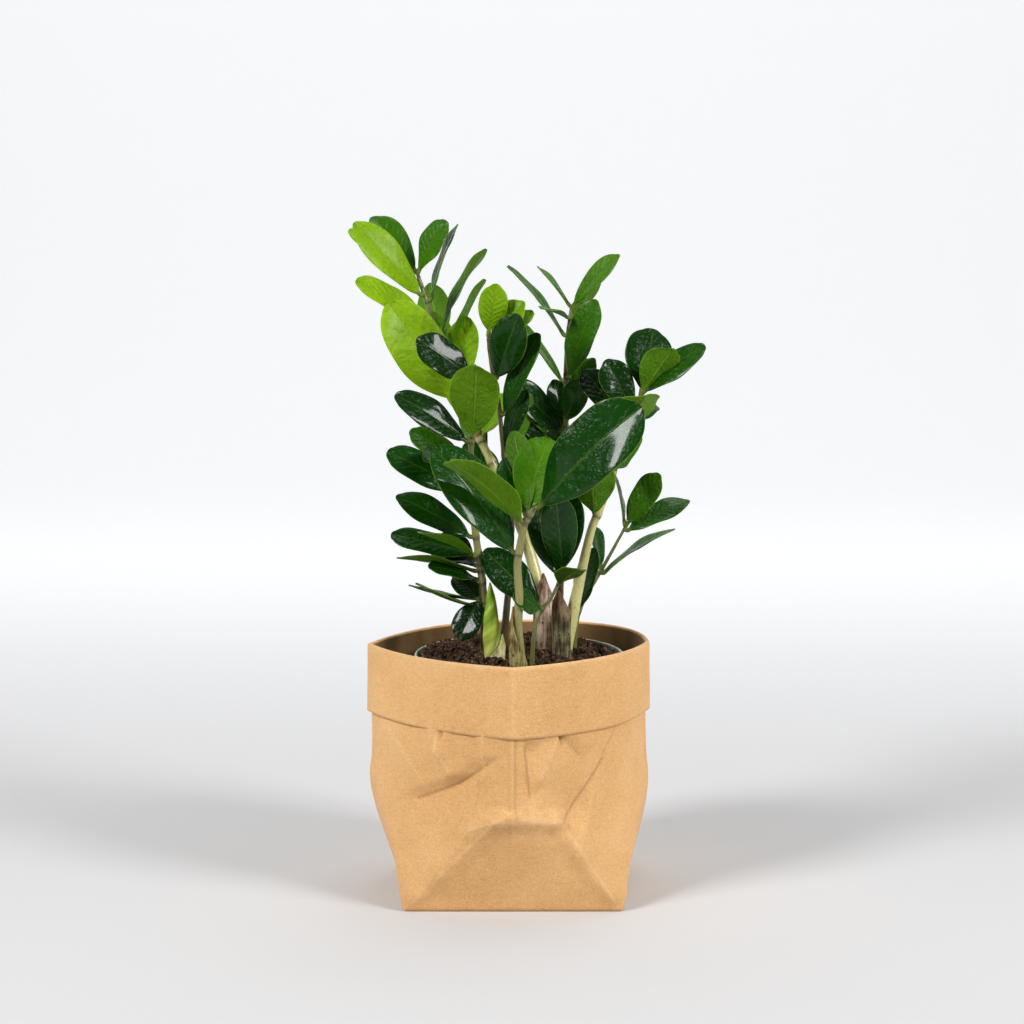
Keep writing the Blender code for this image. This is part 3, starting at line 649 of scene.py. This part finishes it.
# Leaflets between the CAD ones: share of the stalk where one leaves it, reach in mm, width in mm, facing and
# tone, then arch in degrees and fold where they aren't 15 and 0.2.
MORE_LEAFLETS = {
    "tall_frond": [
        (0.97, (-33, 4, 25), 14, (0.4, -0.7, 0.6), 0.8, 20, 0.2),
        (0.56, (9, 4, 19), 15, (-0.4, -0.8, 0.4), 0.76),
        (0.68, (5, -4, 36), 17, (-0.2, -0.9, 0.3), 0.78),
        (0.41, (-18, 8, 21), 16, (0.4, -0.8, 0.4), 0.3),
        (0.45, (16, 8, 24), 16, (-0.3, -0.9, 0.3), 0.14),
        (0.5, (-14, 18, 20), 17, (0.4, 0.8, 0.4), 0.4, 20, 0.2),
        (0.58, (-16, 22, 26), 17, (0.3, 0.8, 0.4), 0.6, 20, 0.2),
        (0.82, (-6, 30, 26), 17, (-0.1, 0.8, 0.5), 0.5, 25, 0.2),
    ],
    "centre_frond": [
        (0.96, (15, -5, 20), 17, (-0.5, -0.7, 0.5), 0.72, 15, 0.3),
        (0.60, (12, 16, 30), 14, (-0.3, 0.8, 0.4), 0.4, 20, 0.2),
        (0.63, (10, -4, 29), 11, (-0.5, -0.8, 0.2), 0.2, 15, 0.35),
        (0.40, (-15, 8, 20), 15, (0.4, -0.8, 0.4), 0.2),
    ],
    "left_frond": [
        (0.70, (-19, -18, 5), 16, (-0.1, -0.6, 0.8), 0.12, 55, 0.15),
        (0.67, (-26, 4, 19), 15, (0.2, -0.7, 0.6), 0.4),
        (0.36, (-18, 8, 9), 16, (0.2, -0.8, 0.5), 0.14),
        (0.56, (-15, 12, 20), 16, (0.3, -0.8, 0.4), 0.12),
        (0.34, (-20, 16, 5), 16, (0.1, -0.5, 0.8), 0.2, 20, 0.2),
        (0.29, (-22, -12, 8), 12, (0.1, -0.5, 0.8), 0.22),
        (0.20, (-12, 6, 11), 14, (0.6, -0.7, 0.3), 0.2),
        (0.19, (-29, -8, 12), 10, (0.35, 0.2, 0.9), 0.34, -20, 0.3),
        (0.22, (-32, -4, 7), 10, (0.2, 0.1, 0.95), 0.2, -15, 0.3),
    ],
    "front_frond": [
        (0.95, (-7, 14, 34), 14, (0.1, 0.8, 0.4), 0.4),
        (0.91, (-9, 12, 24), 16, (0.3, -0.9, 0.3), 0.3),
    ],
    "back_frond": [
        (1.00, (-15, 0, 18), 10, (0.6, -0.15, 0.8), 0.5, 15, 0.3),
        (0.97, (-13, -18, 5), 11, (0.1, -0.1, 1), 0.5),
        (0.94, (15, 8, 24), 14, (-0.3, 0.6, 0.6), 0.42, 20, 0.2),
        (0.61, (-15, -4, 18), 16, (0.4, -0.8, 0.4), 0.4),
        (0.64, (-5, 4, 22), 13, (0.3, -0.9, 0.4), 0.2),
        (0.73, (12, 6, 18), 11, (-0.3, -0.9, 0.3), 0.52),
        (0.66, (7, -8, 20), 14, (-0.3, -0.9, 0.3), 0.34),
        (0.60, (-21, -6, 14), 17, (0.3, -0.8, 0.5), 0.08),
        (0.53, (-17, -8, 18), 16, (0.3, -0.9, 0.3), 0.1),
        (0.55, (-8, 26, 26), 18, (0.2, 0.8, 0.4), 0.3, 20, 0.2),
        (0.70, (10, 26, 22), 17, (-0.2, 0.8, 0.4), 0.35, 20, 0.2),
        (0.40, (14, 22, 20), 17, (-0.2, 0.7, 0.6), 0.2, 20, 0.2),
    ],
    "right_frond": [
        (1.00, (13, -8, 20), 19, (-0.1, 0.8, 0.6), 0.5, 15, 0.25),
        (0.88, (-21, 8, 24), 17, (0.4, -0.9, 0.2), 0.08),
        (0.89, (9, 10, 7), 14, (-0.1, -0.5, 0.9), 0.3),
        (0.66, (12, 22, 18), 17, (-0.3, 0.7, 0.5), 0.3, 20, 0.2),
    ],
    "side_sprig": [
        (1.00, (-5, 4, 24), 13, (0.95, -0.1, 0.2), 0.3),
        (0.64, (-4, 4, 19), 13, (0.8, -0.5, 0.2), 0.3),
    ],
    "low_sprig": [
        (1.00, (2, 6, 36), 18, (-0.2, -0.9, 0.2), 0.12, 15, 0.15),
        (0.59, (-26, 6, 25), 19, (0.3, -0.9, 0.3), 0.12),
        (0.59, (-12, -11, 7), 14, (0.2, -0.75, 0.6), 0.34),
    ],
}

# Share of brown skin, then the tone at the foot and at the tip, of each stalk.
STALK_LOOKS = {
    "front_frond": (0.2, (0.62, 0.5)),
    "left_frond": (0.2, (0.75, 0.25)),
    "tall_frond": (0.0, (1.1, 0.4)),
    "centre_frond": (0.7, (0.3, 0.2)),
    "back_frond": (0.75, (0.3, 0.3)),
    "right_frond": (0.0, (1.0, 0.7)),
    "side_sprig": (0.0, (0.3, 0.15)),
    "low_sprig": (0.1, (0.35, 0.2)),
}

SKIN = stalk_material()
stems = {frond: Stem(frond) for frond in STALK_LOOKS}
for order, (frond, stem) in enumerate(stems.items()):
    for number, tone in enumerate(TONES[frond], 1):
        node = f"{frond}_leaf_{number}"
        base, reach, width, facing, arch, fold = read_leaf(node, stem)
        stem.nodes.append(stem.nearest(base))
        blade = grow_leaf(f"{frond}_leaflet_{number}", stem, base, reach, width, facing, arch, fold, tone,
                          100 * order + number)
        place(blade, LEAVES[SLOTS[node]], SLOTS[node], node)
    for number, (share, reach, width, facing, tone, *bend) in enumerate(MORE_LEAFLETS[frond], 1):
        arch, fold = bend or (15, 0.2)
        length = stem.share(share)
        reach = np.array(reach) * MM
        root = stem.at(length)
        base = root + unit(reach) * (stem.radius(length) + 1.5 * MM)
        stem.nodes.append(length)
        blade = grow_leaf(f"{frond}_small_leaflet_{number}", stem, base, reach, width * MM, np.array(facing),
                          arch, fold, tone, 100 * order + 50 + number, root)
        slot = "young_leaf" if tone > 0.65 else "mid_leaf" if tone > 0.37 else "mature_leaf"
        place(blade, LEAVES[slot], slot)
    age, pale = STALK_LOOKS[frond]
    place(grow_stalk(frond, stem, age, pale, order), SKIN, SLOTS[f"{frond}_stem"], f"{frond}_stem")


# ---------------------------------------------------------------- sheaths and the new shoot


def round_axis(x, y, radius, turn, z):
    """Grid of points at a radius, an angle and a height round a vertical line through x, y."""
    return np.stack(np.broadcast_arrays(x + radius * np.cos(turn), y + radius * np.sin(turn), z), -1)


def grow_sheath(node, foot, radius, facing, wrap, tip, taper, material, seed):
    """A pointed part tube rising from foot: it narrows towards a torn tip, and its axis leans to the tip.

    facing is the side that it covers at its foot and at its tip, and wrap how far round it goes, in degrees.
    """
    up = np.linspace(0, 1, 56)[:, None]
    side = np.linspace(-1, 1, 40)
    low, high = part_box(node)
    narrow = (1 - up ** taper) * 0.95 + 0.05
    narrow = narrow * (1 + 0.09 * ripple(up * 9, side * 0.5, seed, 4))
    angle = np.radians(facing[0] + (facing[1] - facing[0]) * up + side * wrap / 2 * narrow)
    out = radius * (1 + 0.10 * np.sin(np.pi * up) - 0.35 * ease(up, 0.6, 1))
    out = out + 0.22 * MM * ripple(angle * 5, up * 4, seed + 1, 4)
    out = out + 0.5 * MM * np.abs(side) ** 4 * ease(up, 0.2, 0.6)
    z = low.z + (high.z - low.z) * up + 0.4 * MM * ripple(side * 6, up * 2, seed + 2, 3)
    grid = round_axis(foot[0] + tip[0] * MM * up, foot[1] + tip[1] * MM * up, out, angle, z)
    thing = surface(f"{node}_scale", grid, height=up)
    solid = thing.modifiers.new("thickness", "SOLIDIFY")
    solid.thickness = 0.5 * MM
    solid.offset = 0
    place(thing, material, SLOTS[node], node)


for node, frond, facing, wrap, tip, taper, seed, *looks in (
        ("bark_sheath", "tall_frond", (268, 262), 215, (0.6, 0.5), 4.2, 11,
         (250, 226, 204), (214, 178, 148), (84, 60, 44), (122, 66, 46), 1.0),
        ("grey_sheath", "right_frond", (266, 250), 230, (-1.5, -0.5), 4.6, 21,
         (140, 130, 98), (92, 84, 56), (44, 38, 24), (122, 74, 52), 0.7),
        ("front_sheath", "front_frond", (255, 188), 235, (0, 0), 0.8, 31,
         (168, 160, 104), (120, 102, 58), (66, 44, 26), (120, 66, 44), 0.7)):
    stem = stems[frond]
    grow_sheath(node, stem.at(ROOT_DEPTH)[:2], stem.radius(ROOT_DEPTH) + 0.35 * MM, facing, wrap, tip, taper,
                sheath_material(f"{node}_skin", *looks), seed)


def grow_shoot():
    """The rolled young leaf: a spindle whose section is a spiral, its free edge climbing as a steep helix.

    The spindle follows the rings of the CAD node's points. It returns the centre and radius for its sheath.
    """
    points = points_of("new_shoot")
    low, high = points[:, 2].min(), points[:, 2].max()
    level = np.linspace(low, high, 90)
    cuts = [points[np.abs(points[:, 2] - z) < 0.6 * MM] for z in np.unique(np.round(points[:, 2], 4))]
    centres = np.array([cut.mean(0) for cut in cuts])
    spread = [np.linalg.norm((cut - middle)[:, :2], axis=1).max() for cut, middle in zip(cuts, centres)]
    known = (centres[:, 0], centres[:, 1], spread)
    x, y, radius = (np.interp(level, centres[:, 2], value)[:, None] for value in known)
    share = ((level - low) / (high - low))[:, None]
    turn = np.linspace(0, 2 * np.pi, 60, endpoint=False)
    pleat_wave = np.cos(2 * turn - 30 * share + 0.6)
    spiral = np.mod(turn - 3.6 * share - 3.5, 2 * np.pi) / (2 * np.pi)
    second = np.mod(turn + 2.5 * share - 1.0, 2 * np.pi) / (2 * np.pi)
    step = 0.24 * (spiral - 0.5) * ease(share, 0.25, 0.45) + 0.10 * (second - 0.5)
    r = radius * (1.2 + step) * (1 + 0.035 * pleat_wave)
    # Painted highlight on the pleat crests and along the free edge, painted shade under the edge and in the
    # pleat troughs.
    pleat = bell(spiral - 0.93, 0.05) + np.clip(pleat_wave, 0, 1) ** 3 * ease(share, 0.2, 0.5)
    cleft = (bell(spiral - 0.04, 0.05) + 0.7 * np.clip(-pleat_wave, 0, 1) ** 3) * ease(share, 0.15, 0.45)
    grid = round_axis(x, y, r, turn, level[:, None])
    thing = surface("rolled_new_leaf", grid, True, ("pole", "pole"), height=share, pleat=pleat,
                    cleft=np.clip(cleft, 0, 1))
    place(thing, shoot_material(), SLOTS["new_shoot"], "new_shoot")
    return (x[8, 0], y[8, 0]), radius[20, 0]


foot, radius = grow_shoot()
cream = sheath_material("shoot_sheath_skin", (226, 218, 170), (186, 180, 118), (122, 120, 66),
                        (176, 172, 104), 0.4)
grow_sheath("shoot_sheath", foot, radius * 1.36, (290, 345), 250, (1.2, 0), 1.1, cream, 41)


# ---------------------------------------------------------------- pot and soil


def grow_pot():
    """The nursery pot: a profile turned round its axis, slightly oval.

    It has a tapered wall, a lip turned down under a rounded bead, and a foot. The centre, radius and height
    of its mouth are returned.
    """
    low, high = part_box("nursery_pot")
    centre = ((low.x + high.x) / 2, (low.y + high.y) / 2)
    rim, top, bottom = (high.x - low.x) / 2, high.z, low.z
    foot = points_of("nursery_pot")
    foot = foot[foot[:, 2] < bottom + 2.5 * MM]
    foot_radius = np.linalg.norm(foot[:, :2] - centre, axis=1).max()
    wall, lip = 0.9 * MM, 7 * MM
    inner_top = rim - 1.3 * MM
    bead = 0.6 * MM
    rolled = [(rim - bead + bead * np.cos(turn), top - bead + bead * np.sin(turn))
              for turn in np.linspace(np.pi * 0.95, 0, 10)]
    profile = [(0.3 * MM, bottom + wall), (foot_radius * 0.5, bottom + wall),
               (foot_radius - wall, bottom + wall),
               (foot_radius - wall * 0.6, bottom + 2 * MM), (inner_top - 2 * MM, top - 26 * MM),
               (inner_top, top - 1.5 * MM), *rolled, (rim, top - lip), (rim - 0.5 * MM, top - lip - 0.3 * MM),
               (rim - 0.7 * MM, top - lip), (rim - 0.8 * MM, top - 9 * MM), (rim - 1.7 * MM, top - 12 * MM),
               (foot_radius + 0.4 * MM, bottom + 3 * MM), (foot_radius - 0.4 * MM, bottom + 0.6 * MM),
               (foot_radius - 2 * MM, bottom), (0.3 * MM, bottom)]
    radius, z = np.array(profile[::-1]).T[..., None]
    turn = np.linspace(0, 2 * np.pi, 144, endpoint=False)
    radius = radius * (1 + 0.004 * np.sin(2 * turn + 0.7))
    shell = surface("nursery_pot_shell", round_axis(*centre, radius, turn, z), True, ("pole", "pole"))
    place(shell, plastic_material(), SLOTS["nursery_pot"], "nursery_pot")
    return centre, inner_top, top


def heap(x, y, rim, level):
    """Height of the soil: two broad waves that die away at the rim, higher at the back left, plus clods."""
    inside = np.clip(1 - (x * x + y * y) / rim ** 2, 0, 1)
    wave = 0.5 + 0.3 * np.sin(150 * x + 1) * np.cos(130 * y) + 0.5 * (y - x) / rim
    clods = 0.9 * MM * ripple(x * 420, y * 420, 5, 4) * np.minimum(inside * 6, 1)
    return level + 5 * MM * wave * inside ** 0.5 + clods


def grow_soil(centre, rim, top):
    """The soil in the pot, down to its floor, and what lies on it: crumbs, chips of bark, feed granules."""
    low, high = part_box("soil")
    level = top - 1.8 * MM
    turn = np.linspace(0, 2 * np.pi, 260, endpoint=False)
    reach = rim * 0.985 * np.linspace(0.004, 1, 110)[:, None] ** 0.9
    bed = round_axis(*centre, reach, turn, heap(reach * np.cos(turn), reach * np.sin(turn), rim, level))
    share = np.linspace(1, 0, 8)[1:, None]
    wall = round_axis(*centre, (high.x - low.x) / 2 * (0.76 + 0.22 * share), turn,
                      low.z + (level - 3 * MM - low.z) * share)
    thing = surface("soil_bed", np.concatenate([bed, wall])[::-1], True, ("pole", "pole"))
    dark = soil_material("potting_soil", (10, 7, 5), (30, 21, 15), (76, 57, 42))
    place(thing, dark, SLOTS["soil"], "soil")
    for seed, (name, count, sizes, long, spots, *colours) in enumerate((
            ("soil_crumbs", 2800, (0.4, 1.9), 1.25, None, (20, 13, 9), (80, 59, 44), (172, 138, 108)),
            ("bark_chips", 150, (0.5, 1.3), 2.2, None, (60, 44, 30), (104, 80, 56), (160, 128, 94)),
            ("feed_granules", 3, (0.7, 0.9), 1.25, ((-33, -12), (-30, -24), (20, 18)), (10, 120, 112),
             (24, 150, 140), (60, 176, 160))), 1):
        crumb_field(name, count, sizes, centre, rim, level, seed, soil_material(name, *colours), long, spots)


def crumb_field(name, count, sizes, centre, rim, level, seed, material, long, spots):
    """Small uneven lumps strewn on the soil: one 20-sided lump, turned, stretched and placed count times."""
    rng = np.random.default_rng(seed)
    golden = (1 + 5 ** 0.5) / 2
    corners = np.array([(-1, golden, 0), (1, golden, 0), (-1, -golden, 0), (1, -golden, 0), (0, -1, golden),
                        (0, 1, golden), (0, -1, -golden), (0, 1, -golden), (golden, 0, -1), (golden, 0, 1),
                        (-golden, 0, -1), (-golden, 0, 1)]) / np.hypot(1, golden)
    sides = np.array([(0, 11, 5), (0, 5, 1), (0, 1, 7), (0, 7, 10), (0, 10, 11), (1, 5, 9), (5, 11, 4),
                      (11, 10, 2), (10, 7, 6), (7, 1, 8), (3, 9, 4), (3, 4, 2), (3, 2, 6), (3, 6, 8),
                      (3, 8, 9), (4, 9, 5), (2, 4, 11), (6, 2, 10), (8, 6, 7), (9, 8, 1)])
    reach = rim * 0.97 * np.sqrt(rng.uniform(0, 1, count))
    turn = rng.uniform(0, 2 * np.pi, count)
    x, y = reach * np.cos(turn), reach * np.sin(turn)
    if spots:
        x, y = np.array(spots, float).T * MM
    size = rng.uniform(*sizes, count) * MM
    stretch = rng.uniform(0.65, 1, (count, 1, 3)) * np.array([long, 1, 0.8])
    spins = np.linalg.qr(rng.normal(size=(count, 3, 3)))[0]
    spins[:, :, 0] *= np.sign(np.linalg.det(spins))[:, None]
    lumps = corners[None] * rng.uniform(0.75, 1.2, (count, 12, 1)) * stretch * size[:, None, None]
    lumps = lumps @ spins
    z = heap(x, y, rim, level) + size * 0.25
    points = lumps + np.stack([centre[0] + x, centre[1] + y, z], -1)[:, None]
    loops = (sides[None] + 12 * np.arange(count)[:, None, None]).ravel()
    thing = mesh_object(name, points.reshape(-1, 3), loops, np.full(20 * count, 3), spots is not None)
    place(thing, material, SLOTS["soil"])


grow_soil(*grow_pot())


# ---------------------------------------------------------------- paper bag

PAPER = 0.7 * MM  # thickness of the paper
STAND_OFF = 1.6 * MM  # from the wall to the cuff
CUFF_DEPTH = 33 * MM
APEX = 54 * MM  # height at which the square base has turned into the mouth's outline
FACET = 0.12  # share of a side of the base at which the flat triangle at its corner ends
BELLY = 3.4 * MM  # how far the front and back bulge between the base and the cuff
FLOOR = np.array([0.03, 0.3, 0.6, 0.85, 0.985])  # rings of the floor, as shares of the base
WALL_ROWS, CUFF_ROWS = 92, 26

# Folds pressed into the front panel: from (x, z) to (x, z) in mm, depth in mm (inwards if negative), and the
# width in mm over which each dies away to the left and to the right of its direction.
FRONT_FOLDS = [
    (-34.5, 92, -34.5, 78, 1.1, 8, 13), (-34.5, 78, -29, 68, 0.9, 8, 12),
    (-47, 52, -27, 63, -1.3, 5, 16), (-27, 63, -12.6, 74, -1.1, 5, 12),
    (-34.3, 92, -33.2, 85, -1.8, 1.6, 1.2), (-36.5, 92, -37, 84, 0.5, 1.2, 3),
    (-13.7, 90, -13.7, 68, 0.6, 9, 5), (-18, 88, -16, 81, -0.4, 1.5, 3),
    (-20, 43, -3, 50, 0.8, 6, 7), (2, 50, 20, 46, 0.7, 6, 7),
    (-0.4, 90, -0.4, 2, 0.5, 3, 1.0), (0.9, 89, 0.9, 3, -0.5, 0.9, 4),
    (-49, 3, -7, 48, 0.8, 9, 7), (49, 3, 21, 47, 0.8, 6, 9), (-7, 48, 21, 47, 0.6, 5, 6),
    (5.5, 84, 8, 60, -0.8, 6, 7),
    (21.5, 90, 12, 68, 0.9, 5, 8), (21.5, 90, 31, 77, -0.8, 4, 9), (21.3, 91, 23, 84, -1.8, 1.4, 1.8),
    (24, 90, 27, 86, 0.5, 1.5, 2), (44, 72, 22, 45, -0.9, 10, 14), (-58, 82, -41, 60, 0.7, 10, 10),
    (-46, 36, -30, 14, 0.5, 8, 8), (38, 60, 30, 30, 0.5, 9, 7), (50, 88, 44, 74, -0.5, 5, 8),
]


def outline(corner, crease, steps, curved):
    """A closed outline through four creases, past the corners between them.

    It is four curves, or, for the base, straight sides whose points hurry to the corners, so that a flat
    triangle rises from each side.
    """
    points = []
    for side in range(4):
        start, end, middle = crease[side], crease[(side + 1) % 4], corner[side]
        pull = middle * 2 - (start + end) / 2
        for t in steps:
            if curved:
                points.append(start * (1 - t) ** 2 + pull * 2 * t * (1 - t) + end * t ** 2)
            else:
                near, t = (start, t) if t < 0.5 else (end, 1 - t)
                share = 0.96 * min(t / FACET, 1) + 0.04 * max((t - FACET) / (0.5 - FACET), 0)
                points.append(near + (middle - near) * share)
    return np.array(points)


def pressed(x, z, folds):
    """Height of a set of folds on a panel, and where crests (painted highlight) and valleys (painted shade)
    run.

    Each is a tent: straight down from its line over its own width on either side, fading beyond its ends.
    """
    total, lines = np.zeros_like(x), np.zeros_like(x)
    for x1, z1, x2, z2, depth, left, right in folds:
        along = np.array([x2 - x1, z2 - z1])
        length = np.linalg.norm(along)
        along = along / length
        run = (x - x1) * along[0] + (z - z1) * along[1]
        aside = (x - x1) * along[1] - (z - z1) * along[0]
        beyond = np.maximum(np.maximum(-run, run - length), 0)
        tent = 1 - np.where(aside > 0, aside / right, -aside / left) - beyond / (0.6 * (left + right))
        total += 2.2 * depth * np.maximum(tent, 0) ** 1.1
        # Plus along a crest, for painted highlight, and minus along a valley, for painted shade.
        lines += np.sign(depth) * bell(np.hypot(aside, beyond), 0.7) * min(abs(depth), 1)
    return total, lines


def random_folds(seed, count):
    """Folds of a panel that isn't drawn by hand, in the form of FRONT_FOLDS."""
    rng = np.random.default_rng(seed)
    found = []
    for _ in range(count):
        x, z, turn, length = (rng.uniform(*span) for span in ((-55, 55), (10, 84), (0, np.pi), (10, 34)))
        found.append((x, z, x + length * np.cos(turn), z + length * np.sin(turn), rng.choice([-1.0, 1.0]),
                      *rng.uniform(4, 13, 2)))
    return found


def grow_bag():
    """One sheet of paper: floor, walls from a square base to a rounder mouth, and the rim turned out.

    The outline turns from the base's into the mouth's, up to the height APEX. Folds, ripples and a belly
    shape the wall, and the cuff stands off from it and only ripples.
    """
    points = points_of("paper_bag")
    low, high = points.min(0), points.max(0)
    foot = points[points[:, 2] < 0.5 * MM]
    half_width, half_depth = np.abs(foot[:, 0]).max() * 1.018, np.abs(foot[:, 1]).max()
    mouth_x, mouth_y = -low[:2] - STAND_OFF - 0.5 * MM
    half = np.concatenate([np.linspace(0, FACET, 15)[:-1], np.linspace(FACET, 0.5, 25)])
    steps = np.concatenate([half, 1 - half[-2:0:-1]])
    creases = np.array([(half_width, 0), (0, half_depth), (-half_width, 0), (0, -half_depth)])
    corners = np.array([(1, 1), (-1, 1), (-1, -1), (1, -1)]) * (half_width, half_depth)
    base = outline(corners, creases, steps, False)
    creases = np.array([(mouth_x - 4.2 * MM, 0), (3 * MM, mouth_y - 3 * MM), (-mouth_x, -3 * MM),
                        (0, -mouth_y)])
    corners = np.array([(0.73, 0.70), (-0.56, 0.66), (-0.6, -0.62), (0.6, -0.62)]) * (mouth_x, mouth_y)
    mouth = outline(corners, creases, steps, True)
    tangent = unit(np.roll(mouth, -1, 0) - np.roll(mouth, 1, 0))
    outward = np.stack([tangent[:, 1], -tangent[:, 0]], -1)

    top = high[2] - PAPER / 2
    fold = STAND_OFF / 2
    wall = PAPER / 2 + (top - fold - PAPER / 2) * np.linspace(0.006, 1, WALL_ROWS)
    bend = np.linspace(0, np.pi, 8)[1:-1]
    cuff = np.linspace(0, 1, CUFF_ROWS)

    def rows(*values):
        """A column made of the values on the floor, the wall, the bend and the cuff."""
        counts = (len(FLOOR), WALL_ROWS, len(bend), CUFF_ROWS)
        return np.concatenate(list(map(np.broadcast_to, values, counts)))[:, None]

    z = rows(PAPER / 2, wall, top - fold + fold * np.sin(bend), top - fold - cuff * (CUFF_DEPTH - fold))
    out = rows(0, 0, fold * (1 - np.cos(bend)), STAND_OFF + 0.3 * MM * cuff)
    share = wall / APEX
    lift = np.clip(share - 0.05 * np.log1p(np.exp(np.clip((share - 1) / 0.05, -60, 60))), 0, 1)
    lift = rows(0, lift, 1, 1)[..., None]
    flat = (base * (1 - lift) + mouth * lift) * rows(FLOOR, 1, 1, 1)[..., None]

    x_mm, z_mm = flat[..., 0] / MM, np.broadcast_to(z / MM, flat.shape[:2])
    front, front_lines = pressed(x_mm, z_mm, FRONT_FOLDS)
    back, back_lines = pressed(-x_mm, z_mm, random_folds(7, 20))
    is_front = flat[..., 1] < 0
    margin = ease(np.abs(flat[..., 1]), 1 * MM, 16 * MM)
    is_wall = rows(0, ease(wall, 1 * MM, 9 * MM) * ease(-wall, -top + 14 * MM, -top + 32 * MM), 0, 0)
    is_cuff = rows(0, 0, 0, ease(cuff, 0, 0.8))
    u = np.concatenate([[0], np.cumsum(np.linalg.norm(np.diff(mouth, axis=0), axis=1))])[None] / (26 * MM)
    crumple = np.where(is_front, front, back) * margin * MM
    crumple = crumple + 0.55 * MM * ripple(u, z / (22 * MM), 3, 3)
    crumple = crumple + 0.13 * MM * ripple(u * 4, z / (6 * MM), 6, 3)
    belly = BELLY * bell(flat[..., 1], 24 * MM) * np.sin(np.pi * np.clip(z / (66 * MM), 0, 1)) ** 1.2
    slack = 0.5 * MM * ripple(u * 0.7, 0 * u, 9, 2) + 0.4 * MM * ripple(u, z / (30 * MM), 4, 3)
    shift = (crumple + belly) * is_wall + slack * is_cuff
    flat = flat + outward * (out + shift)[..., None]
    z = z + 0.5 * MM * ripple(u * 0.6, 0 * u, 8, 2) * ease(z, 100 * MM, 120 * MM)
    z = z + 0.5 * MM * ripple(u * 1.2, 0 * u, 12, 3) * is_cuff
    # Painted highlight along fold crests, the rim's fold and the cuff's middle crease, and painted shade
    # along fold valleys.
    ridge = np.where(is_front, front_lines, back_lines) * margin * is_wall + 0.5 * bell((z - top) / MM, 1.0)
    ridge = ridge + 0.35 * bell(flat[..., 0], 1.2 * MM) * (flat[..., 1] < 0) * (is_cuff > 0)
    # The floor and wall rows are marked for painted shade on the inside face of the paper.
    bag = surface("kraft_paper_bag", np.dstack([flat, z]), True, ("pole", None), ridge=np.clip(ridge, -1, 1),
                  deep=rows(1, 1, 0, 0))
    bag.data.materials.append(paper_material("kraft_paper", 0.0))
    solid = bag.modifiers.new("paper", "SOLIDIFY")
    solid.thickness = PAPER
    solid.offset = 0
    solid.material_offset = 1
    # The inside face gets a darker copy of the paper: painted shade.
    place(bag, paper_material("kraft_paper_inside", 0.75), SLOTS["paper_bag"], "paper_bag")


grow_bag()

# ---------------------------------------------------------------- camera, light and stage

MIDDLE = (0, 0, 0.2)


def stand(thing, location, target):
    """Puts a camera or a lamp in the scene, turned to face a point."""
    thing.location = location
    thing.rotation_euler = (Vector(target) - thing.location).to_track_quat("-Z", "Y").to_euler()
    scene.collection.objects.link(thing)


scene = bpy.context.scene
camera = bpy.data.objects.new("camera", bpy.data.cameras.new("camera"))
camera.data.lens = 80.3
camera.data.sensor_width = 36
stand(camera, (-0.0005, -1.10, 0.3263), (-0.0005, 0, 0.185))
scene.camera = camera

for name, location, size, power in (("key_left", (-1.35, -1.0, 1.25), 0.52, 32),
                                    ("fill_right", (1.5, -0.9, 1.0), 0.52, 28),
                                    ("top", (0.15, 0.25, 1.6), 0.8, 6)):
    lamp = bpy.data.lights.new(name, "AREA")
    lamp.size = size
    lamp.energy = power
    stand(bpy.data.objects.new(name, lamp), location, MIDDLE)

world = bpy.data.worlds.new("studio")
world.use_nodes = True
world.node_tree.nodes["Background"].inputs[0].default_value = (1.0, 0.98, 0.96, 1)
world.node_tree.nodes["Background"].inputs[1].default_value = 0.14
scene.world = world
scene.view_settings.view_transform = "Standard"


def studio_sweep():
    """A pale floor that rises in one curve into a backdrop. It glows more the further back it is."""
    turn = np.linspace(0, np.pi / 2, 16)
    far, radius = 1.6, 0.9
    y = np.concatenate([[-3.0, far], far + radius * np.sin(turn[1:]), [far + radius]])
    z = np.concatenate([[0, 0], radius - radius * np.cos(turn[1:]), [3.5]])
    grid = np.broadcast_arrays(np.linspace(-4, 4, 3), y[:, None], z[:, None])
    sweep = surface("studio_sweep", np.stack(grid, -1))
    s = Shader("studio_white")
    spot = s.node("SeparateXYZ", 1, None, Vector=s.node("TexCoord", "Object"))
    s.set(Base_Color=(0.62, 0.62, 0.625), Roughness=0.95, Specular_IOR_Level=0.2)
    s.set(Emission_Color=(0.95, 0.97, 1.0), Emission_Strength=s.range(spot, 0.0, 1.2, 0.0, 0.54))
    sweep.data.materials.append(s.material)


studio_sweep()
